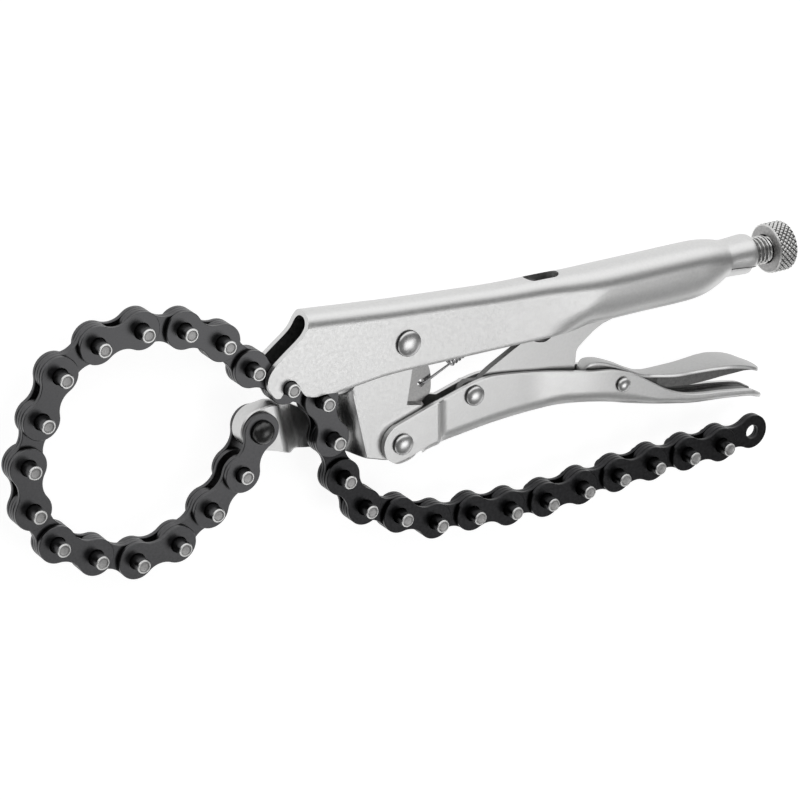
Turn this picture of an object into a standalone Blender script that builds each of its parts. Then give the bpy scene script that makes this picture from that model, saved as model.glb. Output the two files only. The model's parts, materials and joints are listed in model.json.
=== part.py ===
"""Locking chain clamp, lying on its side.

The tool's plane is XY and every hinge axis runs along +Z. The adjusting
screw points along +X and the chain loop lies towards -X. All sizes are in
metres. Places are measured from the jaw pivot while the pieces are made,
and at the end the whole tool is moved so that the world origin lies at the
bottom centre of its bounding box.
"""

import math

import bmesh
import bpy
from mathutils import Matrix, Vector

mm = 0.001

# Chain
pitch = 15.875 * mm
link_radius = 6.7 * mm
link_waist = 4.2 * mm
plate_thickness = 1.55 * mm
plate_gap = 0.3 * mm
pin_radius = 2.54 * mm
pin_play = 0.3 * mm
pin_reach = 5.2 * mm
loop_links = 16
tail_links = 15

# Sheet metal and fits
sheet = 2.1 * mm
fit_gap = 0.3 * mm
overrun = 4.0 * mm

# Upper handle, measured from the jaw pivot
handle_length = 150.0 * mm
nose_reach = 55.0 * mm
nose_depth = 29.5 * mm
tube_height = 20.8 * mm
tube_half_width = 8.0 * mm
tube_slot = 4.2 * mm
neck_radius = 7.3 * mm
neck_sheet = 1.7 * mm
neck_seam = 0.6 * mm
screw_axis_y = 1.9 * mm
fold_share = 0.96
notch_inset = 8.5 * mm
notch_y = -6.6 * mm
notch_play = 0.36 * mm
hook_slot_length = 13.0 * mm
hook_slot_width = 6.0 * mm
tongue_width = 4.4 * mm
tongue_hole = 2.3 * mm
hook_slot_share = 0.39

# Jaw, with the arm that carries the chain
arm_overhang = 2.4 * mm
arm_drop = 20.1 * mm
arm_tip_radius = 7.6 * mm
arm_tip_shift = 0.6 * mm
jaw_drop = 37.1 * mm
jaw_lean = 2.2 * mm
jaw_boss_radius = 6.9 * mm
pivot_boss_radius = 8.5 * mm
crank_clearance = 0.4 * mm
crank_web = 2.6 * mm
lug_thickness = 2.2 * mm
lug_width = 10.0 * mm
lug_height = 11.5 * mm
lug_x = 8.2 * mm
lug_y = -18.2 * mm
lug_hole_radius = 1.7 * mm

# Lower handle
lower_length = 156.6 * mm
lower_depth = 18.0 * mm
waist_half_width = 3.85 * mm
ear_radius = 7.4 * mm
ear_dip_share = 0.54
ear_step_share = 0.12
lower_corner = 3.0 * mm
web_front_x = 7.0 * mm

# Toggle link
link_pivot_x = 28.5 * mm
link_pivot_y = -26.3 * mm
link_end_x = 91.8 * mm
link_end_y = -4.1 * mm
link_thickness = 2.6 * mm
link_front_radius = 5.2 * mm
link_end_radius = 6.2 * mm
link_depth = 20.0 * mm

# Release lever
release_share = 0.412
release_y = -35.2 * mm
lever_front_inset = 15.9 * mm
lever_front_y = -25.2 * mm
lever_lip = 0.15 * mm
lever_length = 81.5 * mm
lever_half_width = 3.05 * mm
lever_sheet = 1.5 * mm
tab_sheet = 1.3 * mm
lever_depth = 10.0 * mm
tab_half_width = 8.0 * mm

# Adjusting screw and knob
knob_radius = 9.4 * mm
knob_length = 8.7 * mm
knob_round = 1.2 * mm
knob_gap = 8.5 * mm
knob_socket = 5.0 * mm
screw_chamfer = 0.8 * mm
link_seat_gap = 1.4 * mm

# Rivets
jaw_rivet_radius = 3.0 * mm
jaw_rivet_head = 4.65 * mm
lower_rivet_radius = 2.8 * mm
lower_rivet_head = 3.8 * mm
toggle_rivet_radius = 2.6 * mm
toggle_rivet_head = 3.7 * mm
release_rivet_radius = 1.9 * mm
release_rivet_head = 2.8 * mm
anchor_rivet_radius = 3.0 * mm
anchor_rivet_head = 4.2 * mm
head_rise = 1.9 * mm
head_rim = 0.5 * mm
anchor_rim = 1.6 * mm
rivet_play = 0.3 * mm

# Spring
wire_radius = 0.5 * mm
coil_radius = 2.0 * mm
coil_turns = 16
coil_pitch = 1.5 * mm
curl_points = 8
hook_reach = 7.4 * mm
spring_shank = 5.0 * mm
spring_end_inset = 1.3 * mm
spring_end_y = 4.2 * mm

# Derived places
notch_x = notch_inset - nose_reach
arm_reach = nose_reach + arm_overhang
hook_slot_x = hook_slot_share * handle_length
spring_end_x = hook_slot_x - spring_end_inset
lower_front = link_pivot_x * 1.6
lower_rear = lower_length - lower_front
release_x = lower_front + release_share * lower_rear
lever_front_x = release_x - lever_front_inset
lever_rear = lever_length - lever_front_inset

# Derived widths: the chain's plates set the width of everything round them
plate_inner = plate_thickness + plate_gap
chain_half = plate_inner + plate_thickness
pin_end = chain_half + pin_reach
jaw_half = chain_half
channel_half = jaw_half + fit_gap
handle_half = channel_half + sheet
anchor_plate_inner = jaw_half + fit_gap
anchor_plate_outer = anchor_plate_inner + plate_thickness
crank_near = -(pin_end + crank_clearance)
crank_far = crank_near - crank_web
neck_bore = neck_radius - neck_sheet
screw_radius = neck_bore - fit_gap

# Headings of the chain's links in degrees, from the anchor rivet round the
# loop to the notch, and then along the free tail
loop_headings = [-118, -136, -143, -172, -199, -210, -240, -266,
                 -290, -296, -331, -353, -371, -387, -408, -394]
tail_headings = [-31, -75, -75, -57, -25, -22, -3, -7,
                 -2, 4, 4, 3, 1, 0, 4]

steel = (0.60, 0.60, 0.59)
bright_steel = (0.72, 0.72, 0.71)
black_oxide = (0.055, 0.055, 0.058)
spring_steel = (0.28, 0.28, 0.29)


def clear_scene():
    """Remove whatever the open file holds."""
    for item in list(bpy.data.objects):
        bpy.data.objects.remove(item, do_unlink=True)


def make_material(name, colour, roughness, metallic):
    """Return a plain Principled material."""
    material = bpy.data.materials.new(name)
    material.use_nodes = True
    shader = material.node_tree.nodes["Principled BSDF"]
    shader.inputs["Base Color"].default_value = (*colour, 1.0)
    shader.inputs["Roughness"].default_value = roughness
    shader.inputs["Metallic"].default_value = metallic
    return material


def mesh_from(bm, name, smooth_angle=math.radians(35)):
    """Close a bmesh into a mesh with outward faces and soft round sides."""
    bmesh.ops.recalc_face_normals(bm, faces=bm.faces)
    mesh = bpy.data.meshes.new(name)
    bm.to_mesh(mesh)
    bm.free()
    mesh.shade_smooth()
    mesh.set_sharp_from_angle(angle=smooth_angle)
    return mesh


def place(name, mesh, material, parent, location, turn=0.0):
    """Add one named object on its parent."""
    item = bpy.data.objects.new(name, mesh)
    bpy.context.collection.objects.link(item)
    if not mesh.materials:
        mesh.materials.append(material)
    item.parent = parent
    item.location = location
    item.rotation_euler = (0.0, 0.0, turn)
    return item


def place_cutter(name, mesh, parent, location):
    """Add a hidden solid that a Boolean takes away."""
    cutter = bpy.data.objects.new(name, mesh)
    bpy.context.collection.objects.link(cutter)
    cutter.parent = parent
    cutter.location = location
    cutter.hide_render = True
    cutter.display_type = "WIRE"
    return cutter


def cut(item, cutter):
    """Take a cutter away from an object."""
    boolean = item.modifiers.new(cutter.name, "BOOLEAN")
    boolean.operation = "DIFFERENCE"
    boolean.solver = "EXACT"
    boolean.object = cutter


def arc(centre, radius, start, end, steps):
    """Points on an arc, angles in degrees, both ends included."""
    points = []
    for step in range(steps + 1):
        angle = math.radians(start + (end - start) * step / steps)
        points.append((centre[0] + radius * math.cos(angle),
                       centre[1] + radius * math.sin(angle)))
    return points


def circle(centre, radius, segments):
    """Points on a whole circle."""
    return arc(centre, radius, 0, 360, segments)[:-1]


def smooth_path(points, steps):
    """A Catmull-Rom curve through the given points."""
    result = []
    last = len(points) - 1
    for index in range(last):
        p0 = points[max(index - 1, 0)]
        p1 = points[index]
        p2 = points[index + 1]
        p3 = points[min(index + 2, last)]
        for step in range(steps):
            t = step / steps
            result.append(tuple(
                0.5 * (2 * b + (c - a) * t
                       + (2 * a - 5 * b + 4 * c - d) * t * t
                       + (3 * b - a - 3 * c + d) * t ** 3)
                for a, b, c, d in zip(p0, p1, p2, p3)))
    result.append(tuple(points[last]))
    return result


def scaled(shares, width, height):
    """Turn a table of shares into points."""
    return [(x * width, y * height) for x, y in shares]


def ring(bm, points, z):
    """A closed loop of vertices at one height."""
    verts = [bm.verts.new((x, y, z)) for x, y in points]
    for index, vert in enumerate(verts):
        bm.edges.new((vert, verts[(index + 1) % len(verts)]))
    return verts


def ring_edges(bm, verts):
    """The edges of a closed loop of vertices."""
    return [bm.edges.get((vert, verts[(index + 1) % len(verts)]))
            for index, vert in enumerate(verts)]


def fill(bm, rings):
    """Fill the flat area between an outline and its holes."""
    edges = []
    for verts in rings:
        edges.extend(ring_edges(bm, verts))
    bmesh.ops.triangle_fill(bm, edges=edges, use_beauty=True)


def wall(bm, first, second):
    """Join two loops with the same number of vertices."""
    count = len(first)
    for index in range(count):
        after = (index + 1) % count
        bm.faces.new((first[index], first[after],
                      second[after], second[index]))


def plate_solid(bm, outline, holes, low, high):
    """A flat plate with holes, between two heights."""
    lower = [ring(bm, points, low) for points in [outline] + holes]
    upper = [ring(bm, points, high) for points in [outline] + holes]
    fill(bm, lower)
    fill(bm, upper)
    for first, second in zip(lower, upper):
        wall(bm, first, second)


def loft(sections):
    """Skin closed rings of equal count and close both ends by halves.

    Each ring runs along an outer path and back along an inner one, so the
    ends are strips between the two.
    """
    bm = bmesh.new()
    rings = [[bm.verts.new(point) for point in section]
             for section in sections]
    for first, second in zip(rings, rings[1:]):
        wall(bm, first, second)
    count = len(rings[0])
    for verts in (rings[0], rings[-1]):
        for index in range(count // 2 - 1):
            bm.faces.new((verts[index], verts[index + 1],
                          verts[count - 2 - index],
                          verts[count - 1 - index]))
    return bm


def interpolate(table, position):
    """Read a table of rows by its first column."""
    if position <= table[0][0]:
        return table[0][1:]
    for low, high in zip(table, table[1:]):
        if position <= high[0]:
            t = (position - low[0]) / (high[0] - low[0])
            return tuple(a + (b - a) * t for a, b in zip(low[1:], high[1:]))
    return table[-1][1:]


def offset_path(path, distance):
    """Move an open path of (z, y) points sideways by a distance."""
    result = []
    last = len(path) - 1
    for index, point in enumerate(path):
        normal = Vector((0.0, 0.0))
        for a, b in ((index - 1, index), (index, index + 1)):
            if a < 0 or b > last:
                continue
            along = Vector(path[b]) - Vector(path[a])
            normal += Vector((-along.y, along.x)).normalized()
        normal.normalize()
        result.append((point[0] + normal.x * distance,
                       point[1] + normal.y * distance))
    return result


def shell_ring(x, half_path, thickness, side):
    """A closed ring at x from half of an outer path.

    The path is mirrored across z = 0 and the inner path is the outer one
    moved by the sheet's thickness to the given side.
    """
    mirrored = [(-z, y) for z, y in reversed(half_path)]
    if abs(half_path[-1][0]) < 1e-9:
        mirrored = mirrored[1:]
    outer = half_path + mirrored
    inner = offset_path(outer, side * thickness)
    return [(x, y, z) for z, y in outer + inner[::-1]]


# Chain

def link_outline():
    """Outline of a waisted link plate, from pin to pin along +X."""
    middle = pitch / 2
    hollow = ((middle ** 2 + link_waist ** 2 - link_radius ** 2)
              / (2 * (link_radius - link_waist)))
    tangent = math.degrees(math.atan2(link_waist + hollow, middle))
    sweep = 90 - tangent
    points = arc((0.0, 0.0), link_radius, tangent, 360 - tangent, 7)
    points += arc((middle, -link_waist - hollow), hollow,
                  90 + sweep, 90 - sweep, 3)[1:-1]
    points += arc((pitch, 0.0), link_radius,
                  tangent - 180, 180 - tangent, 7)
    points += arc((middle, link_waist + hollow), hollow,
                  sweep - 90, -sweep - 90, 3)[1:-1]
    return points


pin_segments = 8


def inner_link_mesh():
    """Two inner plates side by side, bored for the pins."""
    bm = bmesh.new()
    bore = pin_radius + pin_play
    holes = [circle((x, 0.0), bore, pin_segments) for x in (0.0, pitch)]
    plate_solid(bm, link_outline(), holes, -plate_thickness, plate_thickness)
    return mesh_from(bm, "inner_link")


def outer_link_mesh():
    """Two outer plates with the two long pins riveted through them."""
    bm = bmesh.new()
    outline = link_outline()
    pins = [circle((x, 0.0), pin_radius, pin_segments) for x in (0.0, pitch)]
    levels = (-chain_half, -plate_inner, plate_inner, chain_half)
    rings = [[ring(bm, points, z) for points in [outline] + pins]
             for z in levels]
    for group in rings:
        fill(bm, group)
    wall(bm, rings[0][0], rings[1][0])
    wall(bm, rings[2][0], rings[3][0])
    for pin in (1, 2):
        wall(bm, rings[1][pin], rings[2][pin])
        for group, z in ((rings[0], -pin_end), (rings[3], pin_end)):
            end = ring(bm, pins[pin - 1], z)
            wall(bm, group[pin], end)
            bm.faces.new(end)
    return mesh_from(bm, "outer_link")


def anchor_plate_mesh():
    """One of the two wide plates between the anchor rivet and the chain."""
    bm = bmesh.new()
    holes = [circle((0.0, 0.0), anchor_rivet_radius + rivet_play,
                    pin_segments),
             circle((pitch, 0.0), pin_radius + pin_play, pin_segments)]
    plate_solid(bm, link_outline(), holes, 0.0, plate_thickness)
    return mesh_from(bm, "anchor_plate")


def walk(start, headings):
    """Pin places along a run of links with the given headings."""
    places = [Vector(start)]
    for heading in headings:
        angle = math.radians(heading)
        step = Vector((math.cos(angle), math.sin(angle))) * pitch
        places.append(places[-1] + step)
    return places


def close_run(places, end, rounds=400):
    """Pull a run of pins between its two ends, keeping every pitch."""
    start = places[0].copy()
    for _ in range(rounds):
        places[-1] = Vector(end)
        for index in range(len(places) - 2, -1, -1):
            along = places[index] - places[index + 1]
            places[index] = places[index + 1] + along.normalized() * pitch
        places[0] = start.copy()
        for index in range(1, len(places)):
            along = places[index] - places[index - 1]
            places[index] = places[index - 1] + along.normalized() * pitch
    return places


def build_chain(parent, black):
    """The anchor link, the links of the loop and those of the tail."""
    anchor = (-arm_reach, -arm_drop)
    notch = (notch_x, notch_y)
    loop = close_run(walk(anchor, loop_headings), notch)
    tail = walk(notch, tail_headings)
    pins = loop + tail[1:]
    inner = inner_link_mesh()
    outer = outer_link_mesh()
    plate = anchor_plate_mesh()
    for index in range(loop_links + tail_links):
        along = pins[index + 1] - pins[index]
        turn = math.atan2(along.y, along.x)
        where = (pins[index].x, pins[index].y, 0.0)
        if index == 0:
            low = (where[0], where[1], anchor_plate_inner)
            place("anchor_plate_front", plate, black, parent, low, turn)
            low = (where[0], where[1], -anchor_plate_outer)
            place("anchor_plate_back", plate, black, parent, low, turn)
        elif index % 2:
            name = "outer_link_%02d" % (index + 1)
            place(name, outer, black, parent, where, turn)
        else:
            name = "inner_link_%02d" % (index + 1)
            place(name, inner, black, parent, where, turn)
    return pins


# Upper handle

# Along (of the nose's reach where negative, of the handle's length where
# positive), top and bottom (of the tube's height), swell from the channel's
# width to the tube's and how far the flanges curl in below
upper_station_shares = [
    (-1.145, 0.976, -0.606, 0.0, 0.0),
    (-0.63, 0.858, -0.606, 0.0, 0.0),
    (-0.45, 0.8125, -0.572, 0.0, 0.0),
    (-0.267, 0.769, -0.519, 0.0, 0.0),
    (-0.085, 0.726, -0.486, 0.0, 0.0),
    (0.133, 0.639, -0.486, 0.0, 0.0),
    (0.267, 0.577, -0.486, 0.1, 0.0),
    (0.387, 0.558, -0.486, 0.35, 0.0),
    (0.467, 0.5385, -0.486, 0.65, 0.35),
    (0.547, 0.536, -0.486, 1.0, 1.0),
    (0.80, 0.5385, -0.486, 1.0, 1.0),
    (0.855, 0.524, -0.44, 0.97, 1.0),
]
# The shoulder: along (of the handle's length), how far the tube has become
# the neck, and the neck's radius, waisted first and then flared to its rim
shoulder_shares = [
    (0.893, 0.45, 0.95), (0.925, 1.0, 0.95), (0.98, 1.0, 1.0),
    (1.0, 1.0, 0.965),
]
# Front edge of the nose and the belly behind the notch, of the nose's
# reach and depth
nose_edge_shares = [
    (-0.70, 0.68), (-0.704, 0.53), (-0.731, 0.41), (-0.776, 0.32),
    (-0.885, 0.17), (-0.967, 0.04), (-1.0, -0.08), (-0.995, -0.18),
    (-0.953, -0.298), (-0.913, -0.322),
]
belly_shares = [
    (-0.767, -0.271), (-0.722, -0.376), (-0.685, -0.40), (-0.655, -0.402),
    (-0.60, -0.397), (-0.536, -0.402), (-0.48, -0.43),
]


def upper_half_path(top, bottom, half, curl_radius, curl):
    """Near half of the handle's section, from the flange up to the crown."""
    corner = fold_share * half
    bend = max(curl, 0.001) * math.pi / 2
    radius = curl_radius * math.pi / 2 / bend
    side_end = bottom + radius * math.sin(bend)
    path = []
    for step in range(4, -1, -1):
        angle = bend * step / 4
        path.append((half - radius * (1 - math.cos(angle)),
                     side_end - radius * math.sin(angle)))
    for step in range(5):
        angle = math.pi / 2 * step / 4
        path.append((half - corner + corner * math.cos(angle),
                     top - corner + corner * math.sin(angle)))
    path.append((0.0, top))
    return path


def upper_sections():
    """Rings of the upper handle from the nose to the end of the neck."""
    sections = []
    swell_range = tube_half_width - handle_half
    for row in upper_station_shares:
        along, top, bottom, swell, curl = row
        half = handle_half + swell * swell_range
        slot = tube_slot / 2
        path = upper_half_path(top * tube_height, bottom * tube_height, half,
                               half - slot, curl)
        x = along * (nose_reach if along < 0 else handle_length)
        sections.append(shell_ring(x, path, sheet, 1))
    tail = upper_station_shares[-1]
    tube_top = tail[1] * tube_height
    tube_bottom = tail[2] * tube_height
    for along, blend, flare in shoulder_shares:
        rim = neck_radius * flare
        half = tube_half_width + (rim - tube_half_width) * blend
        top = tube_top + (screw_axis_y + rim - tube_top) * blend
        bottom = tube_bottom + (screw_axis_y - rim - tube_bottom) * blend
        slot = (tube_slot + (neck_seam - tube_slot) * blend) / 2
        path = upper_half_path(top, bottom, half, half - slot, 1.0)
        thickness = sheet + (rim - neck_bore - sheet) * blend
        sections.append(shell_ring(along * handle_length, path,
                                   thickness, 1))
    return sections


def nose_cutter_mesh():
    """Everything in front of the nose's edge, and the notch for a pin."""
    bm = bmesh.new()
    edge = smooth_path(scaled(nose_edge_shares, nose_reach, nose_depth), 2)
    belly = smooth_path(scaled(belly_shares, nose_reach, nose_depth), 2)
    notch = arc((notch_x, notch_y), pin_radius + notch_play, 205, -15, 8)
    far = -nose_reach - overrun * 3
    high = nose_depth + overrun
    outline = [(far, high), (edge[0][0], high)] + edge + notch + belly
    outline += [(belly[-1][0], -high), (far, -high)]
    depth = handle_half + overrun
    plate_solid(bm, outline, [], -depth, depth)
    bore = circle((0.0, 0.0), jaw_rivet_radius + rivet_play, 16)
    plate_solid(bm, bore, [], -depth, depth)
    start = hook_slot_x - hook_slot_length / 2
    slot = [(start, 0.0), (start + hook_slot_length, 0.0),
            (start + hook_slot_length, high), (start, high)]
    plate_solid(bm, slot, [], -hook_slot_width / 2, hook_slot_width / 2)
    return mesh_from(bm, "nose_cutter")


# Outline of the pressed-in tongue under the slot: along (of the slot's
# length, from its front end) and up (of the tube's height)
tongue_shares = [
    (-0.12, 0.50), (0.12, 0.50), (0.42, 0.28), (0.46, 0.10),
    (0.29, 0.10), (0.25, 0.24), (-0.12, 0.40),
]


def tongue_mesh():
    """The tongue that the spring's far hook holds on to."""
    bm = bmesh.new()
    start = hook_slot_x - hook_slot_length / 2
    outline = [(start + x, y) for x, y in
               scaled(tongue_shares, hook_slot_length, tube_height)]
    plate_solid(bm, outline, [], -tongue_width / 2, tongue_width / 2)
    return mesh_from(bm, "tongue")


def tongue_hole_mesh():
    """The hole in the tongue, along +X."""
    bm = bmesh.new()
    half = tongue_hole / 2
    reach = hook_slot_length / 2
    outline = [(spring_end_x - reach, spring_end_y - half * 1.3),
               (spring_end_x + reach, spring_end_y - half * 0.7),
               (spring_end_x + reach, spring_end_y + half * 1.3),
               (spring_end_x - reach, spring_end_y + half * 0.7)]
    plate_solid(bm, outline, [], -half, half)
    return mesh_from(bm, "tongue_hole")


def build_upper_handle(parent, metal):
    """The pressed handle, from the notched nose to the screw's neck."""
    mesh = mesh_from(loft(upper_sections()), "upper_handle")
    handle = place("upper_handle", mesh, metal, parent, (0.0, 0.0, 0.0))
    cut(handle, place_cutter("nose_cutter", nose_cutter_mesh(), parent,
                             (0.0, 0.0, 0.0)))
    union = handle.modifiers.new("tongue", "BOOLEAN")
    union.operation = "UNION"
    union.solver = "EXACT"
    union.object = place_cutter("tongue", tongue_mesh(), parent,
                                (0.0, 0.0, 0.0))
    cut(handle, place_cutter("tongue_hole", tongue_hole_mesh(), parent,
                             (0.0, 0.0, 0.0)))
    return handle


# Jaw

# Upper and lower edge of the arm, of the arm's reach and the jaw's drop
arm_top_shares = [
    (-0.965, -0.335), (-0.91, -0.325), (-0.85, -0.345), (-0.761, -0.42),
    (-0.683, -0.50), (-0.584, -0.585), (-0.49, -0.575), (-0.42, -0.47),
    (-0.34, -0.30), (-0.25, -0.10), (-0.165, 0.08),
]
arm_bottom_shares = [
    (-0.15, -1.15), (-0.23, -1.11), (-0.387, -1.04), (-0.57, -0.992),
    (-0.622, -0.97), (-0.692, -0.925), (-0.779, -0.868),
    (-0.866, -0.806), (-0.95, -0.765),
]
jaw_back_shares = [
    (0.09, -0.80), (0.125, -0.72), (0.165, -0.643), (0.207, -0.602),
    (0.212, -0.46), (0.203, -0.37), (0.18, -0.28), (0.15, -0.20),
]
# Corners of the recess round the spring's lug, from the lug's hole, of the
# lug's width and height
lug_recess_shares = [(-0.72, -0.51), (0.95, -0.83), (0.95, 0.67), (-0.49, 0.67)]
# How the arm steps back behind the chain: place (of the chain's pitch, from
# the notch, along slanted lines) and how much of the step is done there
crank_shares = [
    (-0.16, 0.0), (-0.036, 0.10), (0.18, 0.40), (0.40, 0.75),
    (0.56, 0.94), (0.67, 1.0), (1.32, 1.0), (1.41, 0.9),
    (1.74, 0.22), (1.85, 0.06), (1.97, 0.0),
]
crank_slant_share = 0.22


def jaw_outline():
    """Outline of the jaw, counter-clockwise from the arm's top edge."""
    tip = (-arm_reach + arm_tip_shift, -arm_drop)
    points = arc(tip, arm_tip_radius, 100, 262, 10)
    bottom = scaled(arm_bottom_shares, arm_reach, jaw_drop)
    points += smooth_path(bottom[::-1], 1)
    points += arc((-jaw_lean, -jaw_drop), jaw_boss_radius, -95, 25, 8)
    points += smooth_path(scaled(jaw_back_shares, arm_reach, jaw_drop), 2)
    points += arc((0.0, 0.0), pivot_boss_radius, -10, 150, 9)
    top = scaled(arm_top_shares, arm_reach, jaw_drop)
    points += smooth_path(top[::-1], 1)
    return points


def crank_place(vert):
    """Where a point lies along the arm, on lines slanted like the step."""
    slant = crank_slant_share * (vert.y + arm_drop + jaw_boss_radius)
    return (vert.x + slant - notch_x) / pitch


def jaw_mesh():
    """The jaw, flat at the pivots and stepped back behind the chain."""
    bm = bmesh.new()
    holes = [
        circle((0.0, 0.0), jaw_rivet_radius + rivet_play, 16),
        circle((-jaw_lean, -jaw_drop), lower_rivet_radius + rivet_play, 14),
        circle((-arm_reach, -arm_drop), anchor_rivet_radius + rivet_play,
               14),
        circle((lug_x, lug_y), lug_hole_radius, 10),
    ]
    plate_solid(bm, jaw_outline(), holes, -jaw_half, jaw_half)
    for share, _ in crank_shares:
        start = Vector((notch_x + share * pitch,
                        -arm_drop - jaw_boss_radius, 0.0))
        normal = Vector((1.0, crank_slant_share, 0.0)).normalized()
        whole = bm.verts[:] + bm.edges[:] + bm.faces[:]
        bmesh.ops.bisect_plane(bm, geom=whole, plane_co=start,
                               plane_no=normal)
    for vert in bm.verts:
        done = interpolate(crank_shares, crank_place(vert.co))[0]
        if vert.co.z > 0:
            vert.co.z = jaw_half + (crank_near - jaw_half) * done
        else:
            vert.co.z = -jaw_half + (crank_far + jaw_half) * done
    bmesh.ops.triangulate(bm, faces=bm.faces)
    return mesh_from(bm, "jaw")


def lug_cutter_mesh():
    """The two recesses that leave the spring's lug at the jaw's middle."""
    bm = bmesh.new()
    outline = [(lug_x + x, lug_y + y) for x, y in
               scaled(lug_recess_shares, lug_width, lug_height)]
    inside = lug_thickness / 2
    outside = jaw_half + overrun
    plate_solid(bm, outline, [], inside, outside)
    plate_solid(bm, outline, [], -outside, -inside)
    return mesh_from(bm, "lug_cutter")


def build_jaw(parent, metal):
    """The jaw on its pivot."""
    jaw = place("jaw", jaw_mesh(), metal, parent, (0.0, 0.0, 0.0))
    cut(jaw, place_cutter("lug_cutter", lug_cutter_mesh(), parent,
                          (0.0, 0.0, 0.0)))
    return jaw


# Lower handle

# Along (0 at the jaw pivot, 1 at the end of the fixed front part, 2 at the
# tail), top edge of the walls and bottom of the web (of the lower handle's
# depth), and the walls' spread from the narrow channel to the full width
lower_station_shares = [
    (-0.265, -1.798, -2.64, 1.0),
    (0.088, -1.522, -2.58, 1.0),
    (0.184, -1.444, -2.4, 1.0),
    (0.275, -1.375, -2.34, 1.0),
    (0.357, -1.4, -2.3, 0.0),
    (0.600, -1.23, -2.23, 0.0),
    (0.777, -1.165, -2.19, 0.0),
    (1.001, -1.22, -2.165, 0.0),
    (1.094, -1.31, -2.155, 0.0),
    (1.175, -1.395, -2.155, 0.4),
    (1.283, -1.53, -2.235, 0.85),
    (1.372, -1.61, -2.345, 1.0),
    (1.439, -1.755, -2.46, 1.0),
    (1.481, -1.89, -2.53, 1.0),
    (1.544, -2.12, -2.62, 1.0),
    (1.590, -2.3, -2.685, 1.0),
    (1.648, -2.47, -2.755, 1.0),
    (1.714, -2.585, -2.82, 1.0),
    (1.841, -2.69, -2.895, 1.0),
    (1.941, -2.8, -2.975, 1.0),
    (1.982, -2.91, -3.05, 0.65),
    (2.0, -2.985, -3.105, 0.1),
]
lower_corner_share = 0.62


def lower_sections():
    """Rings of the lower handle, a channel open towards the upper one."""
    sections = []
    for along, top, bottom, spread in lower_station_shares:
        half = waist_half_width + (handle_half - waist_half_width) * spread
        high = top * lower_depth
        low = bottom * lower_depth
        corner = min(lower_corner, (high - low) * lower_corner_share,
                     half * lower_corner_share)
        path = [(half, high)]
        for step in range(5):
            angle = math.pi / 2 * step / 4
            path.append((half - corner + corner * math.cos(angle),
                         low + corner - corner * math.sin(angle)))
        path.append((0.0, low))
        sheet_here = min(sheet, (high - low) * lower_corner_share)
        x = min(along, 1) * lower_front + max(along - 1, 0) * lower_rear
        sections.append(shell_ring(x, path, sheet_here, -1))
    return sections


def lower_cutter_mesh():
    """The space round the ears, the gap between them and the bores."""
    bm = bmesh.new()
    centre = (-jaw_lean, -jaw_drop)
    depth = handle_half + overrun
    far = -jaw_lean - ear_radius - overrun
    high = 0.0
    low = -jaw_drop - ear_radius - overrun * 2
    lobe = arc(centre, ear_radius, 107, 318, 14)
    dip = -jaw_drop - ear_radius * ear_dip_share
    step = ear_radius * ear_step_share
    top = (lobe[0][0], high)
    outline = [top] + lobe
    outline += [(web_front_x - step, dip), (web_front_x, dip - step / 4),
                (web_front_x, low), (far, low), (far, high)]
    plate_solid(bm, outline, [], -depth, depth)
    for x, y, radius in (
            (-jaw_lean, -jaw_drop, lower_rivet_radius),
            (link_pivot_x, link_pivot_y, toggle_rivet_radius),
            (release_x, release_y, release_rivet_radius)):
        bore = circle((x, y), radius + rivet_play, 14)
        plate_solid(bm, bore, [], -depth, depth)
    return mesh_from(bm, "lower_cutter")


def web_cutter_mesh():
    """The gap between the ears, where the jaw goes in."""
    bm = bmesh.new()
    far = -jaw_lean - ear_radius - overrun
    low = -jaw_drop - ear_radius - overrun
    outline = [(far, low), (web_front_x, low),
               (web_front_x, 0.0), (far, 0.0)]
    plate_solid(bm, outline, [], -channel_half, channel_half)
    return mesh_from(bm, "web_cutter")


def build_lower_handle(parent, metal):
    """The lower handle, with its origin on the jaw's lower pivot."""
    origin = Vector((-jaw_lean, -jaw_drop, 0.0))
    mesh = mesh_from(loft(lower_sections()), "lower_handle")
    mesh.transform(Matrix.Translation(-origin))
    handle = place("lower_handle", mesh, metal, parent, origin)
    for name, cutter in (("lower_cutter", lower_cutter_mesh()),
                         ("web_cutter", web_cutter_mesh())):
        cut(handle, place_cutter(name, cutter, parent, (0.0, 0.0, 0.0)))
    return handle


# Toggle link

# Top edge from the front eye to the rear one, and the lower edge back, of
# the distance between the eyes and the link's depth
link_top_shares = [
    (0.06, 0.22), (0.12, 0.36), (0.215, 0.52), (0.3, 0.66),
    (0.36, 0.74), (0.41, 0.70), (0.46, 0.61), (0.51, 0.62),
    (0.57, 0.78), (0.70, 1.13), (0.85, 1.34),
]
link_bottom_shares = [
    (0.90, 0.72), (0.835, 0.62), (0.745, 0.41), (0.715, 0.29),
    (0.712, 0.16), (0.705, -0.02), (0.66, -0.11), (0.40, -0.20),
    (0.12, -0.25),
]


def build_toggle_link(parent, metal):
    """The flat link between the lower handle and the screw's tip."""
    span = link_end_x - link_pivot_x
    rise = link_end_y - link_pivot_y
    points = arc((0.0, 0.0), link_front_radius, 110, 280, 9)
    points += smooth_path(scaled(link_bottom_shares[::-1], span,
                                 link_depth), 2)
    points += arc((span, rise), link_end_radius, -85, 100, 9)
    points += smooth_path(scaled(link_top_shares[::-1], span,
                                 link_depth), 2)
    bm = bmesh.new()
    bore = circle((0.0, 0.0), toggle_rivet_radius + rivet_play, 14)
    plate_solid(bm, points, [bore], -link_thickness / 2, link_thickness / 2)
    place("toggle_link", mesh_from(bm, "toggle_link"), metal, parent,
          (link_pivot_x, link_pivot_y, 0.0))


# Release lever

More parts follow.
